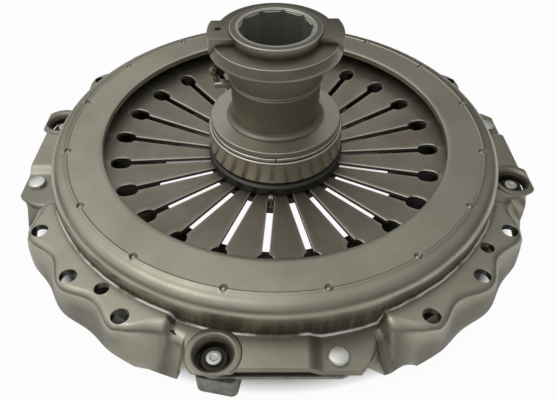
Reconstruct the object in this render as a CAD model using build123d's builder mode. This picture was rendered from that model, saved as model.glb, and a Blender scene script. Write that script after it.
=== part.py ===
from build123d import *
from math import cos, degrees, radians, sin, sqrt
import os

# Pull-type diaphragm spring clutch: cover, pressure plate and release bearing.
# The Z axis is the clutch's axis. Z = 0 is the friction face of the pressure plate,
# and the release bearing points up, away from the flywheel.
# Lengths are in millimetres, angles in degrees counted from the front (-Y), anticlockwise from above.

FRONT = -90.0
QUARTERS = 4
PAD_NAMES = ("front", "right", "rear", "left")
LEAF_NAMES = ("upper", "middle", "lower")

# Edges and cutters
edge_break = 1.0
fine_break = 0.8
cutter_margin = 1.0

# Cover pressing
sheet = 6.0
seat_height = 38.0
crown_rise = 22.0
opening_radius = 159.0
shoulder_radius = 206.0
shoulder_round = 12.0
bead_width = 1.8
bead_radius = 190.7
bead_rise = 0.6
dimple_circle_radius = 189.6
dimple_radius = 3.4
dimple_depth = 1.2
dimple_count = 16
skirt_foot = 11.0
skirt_bulge = 240.5
skirt_waist = 235.0
skirt_round = 6.5
nose_radius = 22.0
nose_setback = 6.5
nose_foot_angle = 22.0
skirt_end_radius = 239.0
skirt_end_start = 13.0
skirt_end_lap = 4.0
notch_slope_start = 25.8
notch_slope_end = 29.1
notch_arch_start = 26.4
notch_arch_end = 29.0
notch_arch_rise = 20.0
pad_drop = 7.0
low_pad_drop = 12.0
pad_edge = 232.0
pad_half_length = 74.0
pad_edge_round = 1.5
wall_lap_angle = 1.0
fold_depth = 25.0
ramp_start = 21.5
ramp_end = 33.5

# Bolt holes of the cover
bolt_circle_radius = 225.0
bolt_pitch_angle = 15.0
bolt_hole_radius = 6.5
dowel_circle_radius = 215.0
dowel_angle = 7.5
dowel_hole_radius = 5.25

# Sockets over the plate rivets, and both sets of rivets
rivet_circle_radius = 225.0
rivet_angle = 11.25
socket_radius = 19.5
socket_foot_radius = 15.6
socket_rise = 3.2
socket_depth = 12.5
socket_bore = 14.4
socket_bore_foot = 12.6
socket_trim = 235.3

# Leaf straps
leaf_thickness = 1.2
leaf_width = 24.0
rivet_shank = 5.0
rivet_fit = 0.05
cover_head_radius = 7.8
cover_head_height = 4.0
closing_head_radius = 8.0
closing_head_height = 3.0
bush_radius = 11.0
bush_height = 3.2
plate_head_radius = 5.9
plate_head_height = 2.6
tail_clearance = 1.5
tail_inset = 1.0

# Pressure plate
plate_inner_radius = 117.0
plate_rim_radius = 215.0
plate_rim_height = 15.0
plate_body_radius = 196.0
plate_body_height = 24.0
face_inner_radius = 121.0
face_relief = 1.5
ridge_radius = 164.0
ridge_width = 8.0
ridge_clearance = 0.35
ridge_gap_count = 24
ridge_gap_width = 9.0
lug_half_width = 15.5
lug_offset = 3.0
lug_beyond_rivet = 12.5
lug_corner = 5.0
lug_root = 15.0
lug_underside = 2.0
cast_round = 3.0
rivet_recess_radius = 9.5
rivet_recess_depth = 4.5

# Diaphragm spring
finger_count = 24
first_slot_angle = -3.5
spring_thickness = 4.5
spring_outer_radius = 191.0
keyhole_circle_radius = 147.0
keyhole_length = 19.0
keyhole_width = 15.0
slot_width = 6.0
finger_tip_radius = 52.0
finger_slope = 0.1125
dish_slope = 0.19
keyhole_height = 45.0

# Fulcrum wire ring between the cover and the spring
fulcrum_radius = 187.5
fulcrum_clearance = 0.1
fulcrum_spring_gap = 0.3

# Release sleeve
bearing_turn = 2.6
sleeve_bore = 33.0
sleeve_radius = 39.5
neck_radius = 41.0
neck_foot = 123.0
neck_taper = 3.0
shield_radius = 59.5
shield_top = 81.5
shield_thickness = 5.3
sleeve_fillet = 9.0
flange_edge = 1.2
flange_foot = 148.0
ledge_thickness = 11.5
ledge_radius = 56.5
raised_step = 4.0
raised_radius = 51.0
boss_step = 4.0
boss_radius = 41.0
lug_reach = 57.3
lug_front = -17.0
lug_rear = 18.5
keeper_hole_radius = 2.6
keeper_hole_depth = 6.0

# Guide bushes in the sleeve
guide_radius = 29.0
lower_bush_length = 26.0
upper_bush_length = 44.0
facet_count = 8
facet_clearance = 0.3
bush_mouth_inset = 3.5

# Ball bearing between the sleeve and the housing
ball_radius = 5.5
ball_circle_radius = 49.6
ball_count = 14
ball_clearance = 0.06
ball_height = 63.0
race_seat = 5.6
race_width = 18.0
race_gap = 6.0
cage_thickness = 3.4
cage_width = 13.0
cage_clearance = 0.3
race_shield_thickness = 1.0

# Rotating housing and what grips the fingers
housing_radius = 62.5
housing_bore = 58.0
housing_top = 72.5
housing_foot = 49.5
housing_web = 4.0
hub_bore = 44.0
hub_radius = 48.5
hub_foot = 18.0
seat_ring_radius = 64.0
finger_clearance = 0.3
thrust_ring_radius = 64.0
thrust_ring_thickness = 5.5
ring_fit = 0.1
keeper_ring_thickness = 2.4
keeper_ring_radius = 52.5
keeper_groove_depth = 1.8
keeper_gap = 10.0
seat_ring_relief = 3.0
pin_chamfer = 0.6
wire_radius = 1.6
wire_ring_radius = 58.6
wire_gap_angle = 1.5
pin_radius = 2.3
pin_circle_radius = 69.0
pin_top = 41.0
pin_lug_half_width = 5.0
pin_lug_root = 4.0

# Grease nipple on the neck
nipple_height = 112.0
nipple_root = 4.0
nipple_seat_depth = 8.0
nipple_stub_radius = 4.0
nipple_stub_length = 8.0
nipple_body_radius = 2.6
nipple_body_length = 15.0
nipple_lean = 17.0
nipple_head_radius = 3.2

# Heights and radii that follow from the sizes above
flange_top = seat_height + sheet
crown_top = flange_top + crown_rise
crown_under = crown_top - sheet
pad_top = flange_top - pad_drop
low_pad_top = flange_top - low_pad_drop
wall_inner_radius = shoulder_radius - sheet
wall_middle_radius = shoulder_radius - sheet / 2
leaf_pack = leaf_thickness * len(LEAF_NAMES)
pack_top = low_pad_top - sheet
pack_foot = pack_top - leaf_pack
rivet_chord = rivet_circle_radius * cos(radians(rivet_angle))
rivet_offset = rivet_circle_radius * sin(radians(rivet_angle))
keyhole_outer_radius = keyhole_circle_radius + keyhole_length / 2
race_foot = ball_height - race_width / 2
race_top = ball_height + race_width / 2
inner_race_radius = ball_circle_radius - race_gap / 2
outer_race_radius = ball_circle_radius + race_gap / 2
shield_foot = shield_top - shield_thickness
ledge_height = flange_foot + ledge_thickness
raised_height = ledge_height + raised_step
boss_height = raised_height + boss_step
lug_radius = rivet_circle_radius + lug_beyond_rivet
wave_rise = (skirt_bulge - skirt_waist) / 2
skirt_middle = skirt_waist + wave_rise
inner_race_seat = inner_race_radius - race_seat


def spring_top(radius):
    """Height of the spring's upper face: nearly flat fingers, a steeper dished ring outside them."""
    dish = max(0.0, radius - keyhole_outer_radius) * (dish_slope - finger_slope)
    return keyhole_height + (radius - keyhole_circle_radius) * finger_slope + dish


def spring_foot(radius):
    return spring_top(radius) - spring_thickness


wire_room = crown_under - fulcrum_clearance - fulcrum_spring_gap - spring_top(fulcrum_radius)
fulcrum_wire_radius = wire_room / 2
ridge_height = spring_foot(ridge_radius - ridge_width / 2) - ridge_clearance


def from_axis(point):
    return sqrt(point.X**2 + point.Y**2)


def polar(radius, angle):
    return (radius * cos(radians(angle)), radius * sin(radians(angle)))


def revolved(points, label):
    """A closed profile of (radius, height) points turned about the Z axis."""
    with BuildPart() as ring:
        with BuildSketch(Plane.XZ):
            with BuildLine():
                Polyline(*points, close=True)
            make_face()
        revolve(axis=Axis.Z)
    ring.part.label = label
    return ring.part


def save(part, name):
    part.label = name
    export_step(part, f"parts/{name}.step")


def dome():
    """The flat annulus with its bead, the rounded shoulder and the short wall below it."""
    outer_round = shoulder_radius - shoulder_round
    inner_round = shoulder_round - sheet
    wall_top = crown_top - shoulder_round
    half_turn = cos(radians(45))
    bead_start = bead_radius - bead_width / 2
    with BuildPart() as shell:
        with BuildSketch(Plane.XZ):
            with BuildLine():
                Line((opening_radius, crown_under), (opening_radius, crown_top))
                Line((opening_radius, crown_top), (bead_start, crown_top))
                ThreePointArc(
                    (bead_start, crown_top),
                    (bead_radius, crown_top + bead_rise),
                    (bead_start + bead_width, crown_top),
                )
                Line((bead_start + bead_width, crown_top), (outer_round, crown_top))
                ThreePointArc(
                    (outer_round, crown_top),
                    (
                        outer_round + shoulder_round * half_turn,
                        wall_top + shoulder_round * half_turn,
                    ),
                    (shoulder_radius, wall_top),
                )
                Line((shoulder_radius, wall_top), (shoulder_radius, seat_height))
                Line((shoulder_radius, seat_height), (wall_inner_radius, seat_height))
                Line((wall_inner_radius, seat_height), (wall_inner_radius, wall_top))
                ThreePointArc(
                    (wall_inner_radius, wall_top),
                    (outer_round + inner_round * half_turn, wall_top + inner_round * half_turn),
                    (outer_round, crown_under),
                )
                Line((outer_round, crown_under), (opening_radius, crown_under))
            make_face()
        revolve(axis=Axis.Z)
    return shell.part


def flange_plan(inset):
    """Wavy outline of a bolt flange: it bulges round each of its three bolts and ends in two noses."""
    middle = skirt_middle - inset
    steps = 8
    angles = [bolt_pitch_angle * (2 * step / steps - 1) for step in range(steps + 1)]
    crests = [polar(middle + wave_rise * cos(radians(360 * a / bolt_pitch_angle)), a) for a in angles]
    nose_centre = bolt_circle_radius - nose_setback
    nose = nose_radius - inset
    inner = wall_middle_radius - inset
    foot_angle = nose_foot_angle - degrees(inset / shoulder_radius)
    diagonal = cos(radians(45))
    with BuildSketch() as plan:
        with BuildLine():
            Spline(*crests, tangents=[polar(1, 90 - bolt_pitch_angle), polar(1, 90 + bolt_pitch_angle)])
            for side in (-1, 1):
                bolt = Vector(*polar(1, side * bolt_pitch_angle))
                along = Vector(-bolt.Y, bolt.X) * side
                crest = bolt * (middle + wave_rise)
                flank = bolt * nose_centre + along * nose
                reach = middle + wave_rise - nose_centre
                corner = bolt * (nose_centre + reach * diagonal) + along * (nose * diagonal)
                ThreePointArc(crest, corner, flank)
                Line(flank, polar(inner, side * foot_angle))
            ThreePointArc(
                polar(inner, -foot_angle),
                (inner, 0),
                polar(inner, foot_angle),
            )
        make_face()
    return plan.sketch


def sector_plan(inner, outer, start, stop):
    """A stretch of ring between two radii and two angles."""
    middle = (start + stop) / 2
    with BuildSketch() as plan:
        with BuildLine():
            ThreePointArc(polar(inner, start), polar(inner, middle), polar(inner, stop))
            Line(polar(inner, stop), polar(outer, stop))
            ThreePointArc(polar(outer, stop), polar(outer, middle), polar(outer, start))
            Line(polar(outer, start), polar(inner, start))
        make_face()
    return plan.sketch


def rounded_block(plan, top, edge_radius, along_arc_only=False):
    """A plan raised from the skirt's foot, with its outer top edges rounded as a drawn corner is."""
    with BuildPart() as block:
        with BuildSketch(Plane.XY.offset(skirt_foot)):
            add(plan)
        extrude(amount=top - skirt_foot)
        rim = block.faces().sort_by(Axis.Z)[-1].edges()
        outside = [e for e in rim if from_axis(e @ 0.5) > shoulder_radius]
        if along_arc_only:
            outside = [e for e in outside if e.geom_type != GeomType.LINE]
        fillet(outside, radius=edge_radius)
    return block.part


def skirt_notches():
    """Cutters for the skirt's two ends: a sloping cut on one side, a concave relief on the other."""
    reach = skirt_end_radius - wall_inner_radius
    start = radians(notch_slope_start) * skirt_end_radius
    end = radians(notch_slope_end) * skirt_end_radius
    floor = skirt_foot - cutter_margin
    with BuildPart() as notches:
        with BuildSketch(Plane.YZ.offset(wall_inner_radius)):
            with BuildLine():
                Polyline(
                    (-start, floor),
                    (-start, skirt_foot),
                    (-end, low_pad_top - sheet),
                    (-end - cutter_margin, low_pad_top - sheet),
                    (-end - cutter_margin, floor),
                    close=True,
                )
            make_face()
        extrude(amount=reach + cutter_margin)
    arch_start = radians(notch_arch_start) * skirt_end_radius
    arch_end = radians(notch_arch_end) * skirt_end_radius
    with BuildPart() as arch:
        with BuildSketch(Plane.YZ.offset(wall_inner_radius)):
            with Locations((arch_end, skirt_foot)):
                Ellipse(arch_end - arch_start, notch_arch_rise)
        extrude(amount=reach + cutter_margin)
    return notches.part, arch.part


def flange_tray():
    """One drawn bolt flange, centred on +X: a high tray and, at each end, the start of a pad."""
    ends = ((-1, notch_slope_end, low_pad_top), (1, notch_arch_end, pad_top))
    with BuildPart() as tray:
        add(rounded_block(flange_plan(0), flange_top, skirt_round))
        for side, end_angle, top in ends:
            start, stop = sorted((side * skirt_end_start, side * end_angle))
            plan = sector_plan(wall_middle_radius, skirt_end_radius, start, stop)
            add(rounded_block(plan, top, pad_edge_round, along_arc_only=True))
        floor = skirt_foot - cutter_margin
        with BuildSketch(Plane.XY.offset(floor)):
            add(flange_plan(sheet))
            add(sector_plan(wall_inner_radius - sheet, shoulder_radius, -nose_foot_angle, nose_foot_angle))
        extrude(amount=seat_height - floor, mode=Mode.SUBTRACT)
        for side, end_angle, top in ends:
            inner_start = side * (skirt_end_start - skirt_end_lap)
            start, stop = sorted((inner_start, side * (end_angle + skirt_end_lap)))
            with BuildSketch(Plane.XY.offset(floor)):
                add(sector_plan(wall_inner_radius - sheet, skirt_end_radius - sheet, start, stop))
            extrude(amount=top - sheet - floor, mode=Mode.SUBTRACT)
        for notch in skirt_notches():
            add(notch, mode=Mode.SUBTRACT)
    return tray.part


def strap_pad():
    """One pad for a strap, centred on +X: a flat strip, a ramp and a lower flat for the rivet."""
    high, low = pad_top, low_pad_top
    inner_edge = wall_inner_radius - fold_depth
    with BuildPart() as pad:
        with BuildSketch(Plane.YZ.offset(inner_edge)):
            with BuildLine():
                Polyline(
                    (-pad_half_length, high),
                    (ramp_start, high),
                    (ramp_end, low),
                    (pad_half_length, low),
                    (pad_half_length, low - sheet),
                    (ramp_end - sheet / 2, low - sheet),
                    (ramp_start - sheet / 2, high - sheet),
                    (-pad_half_length, high - sheet),
                    close=True,
                )
            make_face()
        extrude(amount=pad_edge - inner_edge)
        uppers = [f for f in pad.faces() if f.normal_at().Z > 0.5]
        rim = [e for f in uppers for e in f.edges() if (e @ 0.5).X > pad_edge - cutter_margin / 2]
        fillet(rim, radius=pad_edge_round)
        with BuildSketch(Plane.XY.offset(low - 2 * sheet)):
            Circle(wall_inner_radius)
        extrude(amount=high, mode=Mode.SUBTRACT)
        ramp_angle = degrees((ramp_start + ramp_end) / 2 / shoulder_radius)
        end_angle = 45 - nose_foot_angle + wall_lap_angle
        stretches = ((-end_angle, ramp_angle, high), (ramp_angle, end_angle, low))
        for start, stop, top in stretches:
            with BuildSketch(Plane.XY.offset(top - sheet)):
                add(sector_plan(wall_inner_radius, shoulder_radius, start, stop))
            extrude(amount=seat_height - top + sheet)
    return pad.part


def make_cover():
    tray = flange_tray()
    pad = strap_pad()
    with BuildPart() as cover:
        add(dome())
        with PolarLocations(0, QUARTERS, start_angle=FRONT + 45):
            add(tray)
        with PolarLocations(0, QUARTERS, start_angle=FRONT):
            add(pad)
        with PolarLocations(rivet_circle_radius, QUARTERS, start_angle=FRONT - rivet_angle):
            with Locations((0, 0, pad_top + socket_rise - socket_depth / 2)):
                Cone(socket_foot_radius, socket_radius, socket_depth)
        with PolarLocations(0, QUARTERS, start_angle=FRONT):
            with Locations((socket_trim, 0, 0)):
                Box(
                    socket_radius,
                    2 * pad_half_length - socket_radius,
                    3 * crown_top,
                    align=(Align.MIN, Align.CENTER, Align.CENTER),
                    mode=Mode.SUBTRACT,
                )
        with PolarLocations(rivet_circle_radius, QUARTERS, start_angle=FRONT - rivet_angle):
            with Locations((0, 0, pad_top + socket_rise - socket_depth / 2)):
                Cone(socket_bore_foot, socket_bore, socket_depth, mode=Mode.SUBTRACT)
        with BuildSketch(Plane.XY.offset(flange_top)):
            for turn in (-bolt_pitch_angle, 0, bolt_pitch_angle):
                with PolarLocations(bolt_circle_radius, QUARTERS, start_angle=FRONT + 45 + turn):
                    Circle(bolt_hole_radius)
            with PolarLocations(dowel_circle_radius, QUARTERS, start_angle=FRONT + 45 + dowel_angle):
                Circle(dowel_hole_radius)
        extrude(amount=-sheet, mode=Mode.SUBTRACT)
        with BuildSketch(Plane.XY.offset(low_pad_top)):
            with PolarLocations(rivet_circle_radius, QUARTERS, start_angle=FRONT + rivet_angle):
                Circle(rivet_shank + rivet_fit)
        extrude(amount=-sheet, mode=Mode.SUBTRACT)
        half_step = 180 / dimple_count
        with PolarLocations(dimple_circle_radius, dimple_count, start_angle=FRONT + half_step):
            with Locations((0, 0, crown_top - dimple_depth / 2)):
                Cone(dimple_radius / 2, dimple_radius, dimple_depth, mode=Mode.SUBTRACT)
    save(cover.part, "cover")


def make_fulcrum_ring():
    centre = crown_under - fulcrum_clearance - fulcrum_wire_radius
    with BuildPart() as fulcrum_ring:
        with BuildSketch(Plane.XZ):
            with Locations((fulcrum_radius, centre)):
                Circle(fulcrum_wire_radius)
        revolve(axis=Axis.Z)
    save(fulcrum_ring.part, "fulcrum_ring")


def make_diaphragm_spring():
    """A dished ring whose inner part is slotted into fingers, each slot ending in a keyhole."""
    bend = keyhole_outer_radius
    with BuildPart() as diaphragm_spring:
        with BuildSketch(Plane.XZ):
            with BuildLine():
                Polyline(
                    (finger_tip_radius, spring_foot(finger_tip_radius)),
                    (bend, spring_foot(bend)),
                    (spring_outer_radius, spring_foot(spring_outer_radius)),
                    (spring_outer_radius, spring_top(spring_outer_radius)),
                    (bend, spring_top(bend)),
                    (finger_tip_radius, spring_top(finger_tip_radius)),
                    close=True,
                )
            make_face()
        revolve(axis=Axis.Z)
        slot_length = keyhole_circle_radius - finger_tip_radius / 2
        with BuildSketch(Plane.XY.offset(spring_foot(finger_tip_radius) - cutter_margin)):
            with PolarLocations(keyhole_circle_radius, finger_count, start_angle=FRONT + first_slot_angle):
                SlotOverall(keyhole_length, keyhole_width)
                Rectangle(slot_length, slot_width, align=(Align.MAX, Align.CENTER))
        extrude(amount=spring_top(spring_outer_radius), mode=Mode.SUBTRACT)
    save(diaphragm_spring.part, "diaphragm_spring")


def make_pressure_plate():
    """Cast ring with a friction face below, a pressure ridge above and four lugs for the straps."""
    ridge_inner = ridge_radius - ridge_width / 2
    ridge_outer = ridge_radius + ridge_width / 2
    crest = ridge_width / 4
    with BuildPart() as pressure_plate:
        with BuildSketch(Plane.XZ):
            with BuildLine():
                Polyline(
                    (face_inner_radius, 0),
                    (plate_rim_radius, 0),
                    (plate_rim_radius, plate_rim_height),
                    (plate_body_radius, plate_rim_height),
                    (plate_body_radius - cast_round, plate_body_height),
                    (ridge_outer + cast_round, plate_body_height),
                    (ridge_outer, ridge_height - crest),
                    (ridge_outer - crest, ridge_height),
                    (ridge_inner + crest, ridge_height),
                    (ridge_inner, ridge_height - crest),
                    (ridge_inner - cast_round, plate_body_height),
                    (plate_inner_radius + cast_round, plate_body_height),
                    (plate_inner_radius, plate_body_height - cast_round),
                    (plate_inner_radius, face_relief),
                    (face_inner_radius, face_relief),
                    close=True,
                )
            make_face()
        revolve(axis=Axis.Z)
        with PolarLocations(ridge_radius, ridge_gap_count, start_angle=FRONT + first_slot_angle):
            with Locations((0, 0, plate_body_height)):
                Box(
                    ridge_width * 2.5,
                    ridge_gap_width,
                    ridge_height,
                    align=(Align.CENTER, Align.CENTER, Align.MIN),
                    mode=Mode.SUBTRACT,
                )
        lug_length = lug_radius - plate_body_radius + lug_root
        lug_middle = lug_radius - lug_length / 2
        with BuildSketch(Plane.XY.offset(lug_underside)):
            with PolarLocations(0, QUARTERS, start_angle=FRONT - rivet_angle):
                with Locations((lug_middle, lug_offset)):
                    RectangleRounded(lug_length, 2 * lug_half_width, lug_corner)
        extrude(amount=pack_foot - lug_underside)
        with BuildSketch(Plane.XY.offset(lug_underside)):
            with PolarLocations(rivet_circle_radius, QUARTERS, start_angle=FRONT - rivet_angle):
                Circle(rivet_recess_radius)
        extrude(amount=rivet_recess_depth, mode=Mode.SUBTRACT)
        with BuildSketch(Plane.XY.offset(lug_underside)):
            with PolarLocations(rivet_circle_radius, QUARTERS, start_angle=FRONT - rivet_angle):
                Circle(rivet_shank + rivet_fit)
        extrude(amount=pack_foot, mode=Mode.SUBTRACT)
    save(pressure_plate.part, "pressure_plate")


def make_strap_leaves():
    """Three flat leaves at each pad, from a cover rivet to a plate rivet."""
    for quarter, pad_name in enumerate(PAD_NAMES):
        turned = Plane.XY.rotated((0, 0, FRONT + 90 * quarter))
        for level, leaf_name in enumerate(LEAF_NAMES):
            foot = pack_top - (level + 1) * leaf_thickness
            with BuildPart() as leaf:
                with BuildSketch(turned.offset(foot)):
                    with Locations((rivet_chord, 0)):
                        SlotCenterToCenter(2 * rivet_offset, leaf_width, rotation=90)
                    with Locations((rivet_chord, -rivet_offset), (rivet_chord, rivet_offset)):
                        Circle(rivet_shank + rivet_fit, mode=Mode.SUBTRACT)
                extrude(amount=leaf_thickness)
            save(leaf.part, f"strap_leaf_{pad_name}_{leaf_name}")


def make_cover_rivets():
    """Domed rivets that hold the straps to the low flats of the cover."""
    head_foot = leaf_pack + sheet
    head_top = head_foot + cover_head_height
    with BuildPart() as rivet:
        with BuildSketch(Plane.XZ):
            with BuildLine():
                Polyline(
                    (0, -closing_head_height),
                    (closing_head_radius - edge_break, -closing_head_height),
                    (closing_head_radius, -edge_break),
                    (closing_head_radius, 0),
                    (rivet_shank, 0),
                    (rivet_shank, head_foot),
                    (cover_head_radius, head_foot),
                    (cover_head_radius, head_top),
                    (0, head_top),
                    close=True,
                )
            make_face()
        revolve(axis=Axis.Z)
        fillet(rivet.faces().sort_by(Axis.Z)[-1].edges(), radius=cover_head_height * 0.7)
    with BuildPart() as cover_rivets:
        with PolarLocations(rivet_circle_radius, QUARTERS, start_angle=FRONT + rivet_angle):
            with Locations((0, 0, pack_foot)):
                add(rivet.part)
    save(cover_rivets.part, "cover_rivets")


def make_rivet_bushes():
    """Chamfered bushes that clamp the leaves onto the lugs, seen down inside the sockets."""
    bore = rivet_shank + rivet_fit
    with BuildPart() as bush:
        with BuildSketch(Plane.XZ):
            with BuildLine():
                Polyline(
                    (bore, 0),
                    (bush_radius, 0),
                    (bush_radius, bush_height / 2),
                    (bush_radius - bush_height / 2, bush_height),
                    (bore, bush_height),
                    close=True,
                )
            make_face()
        revolve(axis=Axis.Z)
    with BuildPart() as rivet_bushes:
        with PolarLocations(rivet_circle_radius, QUARTERS, start_angle=FRONT - rivet_angle):
            with Locations((0, 0, pack_top)):
                add(bush.part)
    save(rivet_bushes.part, "rivet_bushes")


def make_plate_rivets():
    """Rivets through the bushes, the leaves and the lugs."""
    head_foot = pack_top + bush_height
    recess_top = lug_underside + rivet_recess_depth
    tail_radius = rivet_recess_radius - tail_clearance
    tail_foot = lug_underside + tail_inset
    with BuildPart() as rivet:
        with BuildSketch(Plane.XZ):
            with BuildLine():
                Polyline(
                    (0, tail_foot),
                    (tail_radius, tail_foot),
                    (tail_radius, recess_top),
                    (rivet_shank, recess_top),
                    (rivet_shank, head_foot),
                    (plate_head_radius, head_foot),
                    (plate_head_radius, head_foot + plate_head_height - fine_break),
                    (plate_head_radius - fine_break, head_foot + plate_head_height),
                    (0, head_foot + plate_head_height),
                    close=True,
                )
            make_face()
        revolve(axis=Axis.Z)
    with BuildPart() as plate_rivets:
        with PolarLocations(rivet_circle_radius, QUARTERS, start_angle=FRONT - rivet_angle):
            add(rivet.part)
    save(plate_rivets.part, "plate_rivets")


def make_bearing_sleeve():
    """The sleeve that does not turn: a bored neck, a forked flange on top and a dust shield below."""
    turned = Plane.XY.rotated((0, 0, bearing_turn))
    reach = 2 * lug_reach
    with BuildPart() as bearing_sleeve:
        with BuildSketch(Plane.XZ):
            with BuildLine():
                Polyline(
                    (sleeve_bore, race_foot),
                    (inner_race_seat, race_foot),
                    (inner_race_seat, race_top),
                    (inner_race_radius - edge_break, race_top),
                    (inner_race_radius - edge_break, shield_foot),
                    (shield_radius, shield_foot),
                    (shield_radius, shield_top - fine_break),
                    (shield_radius - fine_break, shield_top),
                    (sleeve_radius + sleeve_fillet, shield_top),
                )
                CenterArc(
                    (sleeve_radius + sleeve_fillet, shield_top + sleeve_fillet),
                    sleeve_fillet,
                    180,
                    90,
                )
                Polyline(
                    (sleeve_radius, shield_top + sleeve_fillet),
                    (sleeve_radius, neck_foot - neck_taper),
                    (neck_radius, neck_foot),
                    (neck_radius, flange_foot),
                    (ledge_radius - flange_edge, flange_foot),
                    (ledge_radius, flange_foot + flange_edge),
                    (ledge_radius, ledge_height),
                    (sleeve_bore, ledge_height),
                    (sleeve_bore, race_foot),
                )
            make_face()
        revolve(axis=Axis.Z)
        with BuildSketch(turned.offset(ledge_height)):
            with BuildLine():
                CenterArc((0, 0), raised_radius, 0, 180)
                Line((-raised_radius, 0), (-raised_radius, lug_front))
                Line((-raised_radius, lug_front), (raised_radius, lug_front))
                Line((raised_radius, lug_front), (raised_radius, 0))
            make_face()
        extrude(amount=raised_height - ledge_height)
        with BuildSketch(turned.offset(flange_foot)):
            Circle(lug_reach)
            with Locations((0, (lug_front + lug_rear) / 2)):
                Rectangle(reach, lug_rear - lug_front, mode=Mode.INTERSECT)
        extrude(amount=raised_height - flange_foot)
        with BuildSketch(turned.offset(flange_foot)):
            Circle(reach)
            Circle(raised_radius, mode=Mode.SUBTRACT)
            with Locations((0, lug_rear)):
                Rectangle(2 * reach, reach, align=(Align.CENTER, Align.MIN), mode=Mode.INTERSECT)
        extrude(amount=boss_height, mode=Mode.SUBTRACT)
        with BuildSketch(Plane.XY.offset(ledge_height)):
            Circle(boss_radius)
        extrude(amount=boss_height - ledge_height)
        chamfer(bearing_sleeve.faces().sort_by(Axis.Z)[-1].edges(), length=flange_edge)
        with BuildSketch(Plane.XY.offset(boss_height)):
            Circle(sleeve_bore)
        extrude(amount=-boss_height, mode=Mode.SUBTRACT)
        with BuildSketch(turned.offset(raised_height)):
            with Locations((-(lug_reach + boss_radius) / 2, 0)):
                Circle(keeper_hole_radius)
        extrude(amount=-keeper_hole_depth, mode=Mode.SUBTRACT)
        with Locations(Location((nipple_root - neck_radius, 0, nipple_height), (0, -90, 0))):
            Cylinder(
                nipple_stub_radius,
                nipple_seat_depth,
                align=(Align.CENTER, Align.CENTER, Align.MIN),
                mode=Mode.SUBTRACT,
            )
    save(bearing_sleeve.part, "bearing_sleeve")


def make_guide_bushes():
    """Bushes pressed into both ends of the sleeve: a faceted upper one and a plain lower one."""
    upper_top = boss_height - bush_mouth_inset
    across = guide_radius + facet_clearance
    with BuildPart() as guide_bush_upper:
        with BuildSketch(Plane.XY.offset(upper_top)):
            Circle(sleeve_bore)
            flat_forward = 180 / facet_count
            RegularPolygon(
                across, facet_count, major_radius=False, rotation=flat_forward, mode=Mode.SUBTRACT
            )
        extrude(amount=-upper_bush_length)
    save(guide_bush_upper.part, "guide_bush_upper")
    with BuildPart() as guide_bush_lower:
        with BuildSketch(Plane.XY.offset(race_foot)):
            Circle(sleeve_bore)
            Circle(guide_radius, mode=Mode.SUBTRACT)
        extrude(amount=lower_bush_length)
        chamfer(guide_bush_lower.edges().group_by(Axis.Z)[0].sort_by(SortBy.RADIUS)[0], length=edge_break)
    save(guide_bush_lower.part, "guide_bush_lower")


def make_races():
    """Inner race on the sleeve, outer race in the housing, with a groove in each for the balls."""
    sizes = (
        ("inner_race", inner_race_seat, inner_race_radius),
        ("outer_race", outer_race_radius, housing_bore),
    )
    for name, inner, outer in sizes:
        with BuildPart() as race:
            with BuildSketch(Plane.XZ):
                with Locations((inner, race_foot)):
                    Rectangle(outer - inner, race_width, align=(Align.MIN, Align.MIN))
                with Locations((ball_circle_radius, ball_height)):
                    Circle(ball_radius + ball_clearance, mode=Mode.SUBTRACT)
            revolve(axis=Axis.Z)
        save(race.part, name)


def make_balls_and_cage():
    half = cage_width / 2
    inner = ball_circle_radius - cage_thickness / 2
    with BuildPart() as bearing_balls:
        with PolarLocations(ball_circle_radius, ball_count):
            with Locations((0, 0, ball_height)):
                Sphere(ball_radius)
    save(bearing_balls.part, "bearing_balls")
    with BuildPart() as ball_cage:
        with BuildSketch(Plane.XY.offset(ball_height - half)):
            Circle(inner + cage_thickness)
            Circle(inner, mode=Mode.SUBTRACT)
        extrude(amount=cage_width)
        with PolarLocations(ball_circle_radius, ball_count):
            with Locations(Location((0, 0, ball_height), (0, 90, 0))):
                Cylinder(ball_radius + cage_clearance, race_gap, mode=Mode.SUBTRACT)
    save(ball_cage.part, "ball_cage")


def make_race_shields():
    """Two thin rings in the outer race that keep the grease in."""
    inner = inner_race_radius + cage_clearance
    with BuildPart() as race_shields:
        for foot in (race_foot + edge_break, race_top - edge_break - race_shield_thickness):
            with BuildSketch(Plane.XY.offset(foot)):
                Circle(outer_race_radius)
                Circle(inner, mode=Mode.SUBTRACT)
            extrude(amount=race_shield_thickness)
    save(race_shields.part, "race_shields")


def make_bearing_housing():
    """Turned ring that holds the outer race, with a hub that passes down through the fingers."""
    groove_foot = keeper_groove_top - keeper_ring_thickness
    groove_radius = hub_radius - keeper_groove_depth
    points = [
        (hub_bore, hub_foot),
        (hub_radius - edge_break, hub_foot),
        (hub_radius, hub_foot + edge_break),
        (hub_radius, groove_foot),
        (groove_radius, groove_foot),
        (groove_radius, keeper_groove_top),
        (hub_radius, keeper_groove_top),
        (hub_radius, housing_foot),
        (housing_radius - edge_break, housing_foot),
        (housing_radius, housing_foot + edge_break),
        (housing_radius, housing_top - flange_edge),
        (housing_radius - flange_edge, housing_top),
        (housing_bore, housing_top),
        (housing_bore, race_foot),
        (outer_race_radius, race_foot),
        (outer_race_radius, housing_foot + housing_web),
        (hub_bore, housing_foot + housing_web),
    ]
    save(revolved(points, "bearing_housing"), "bearing_housing")


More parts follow.
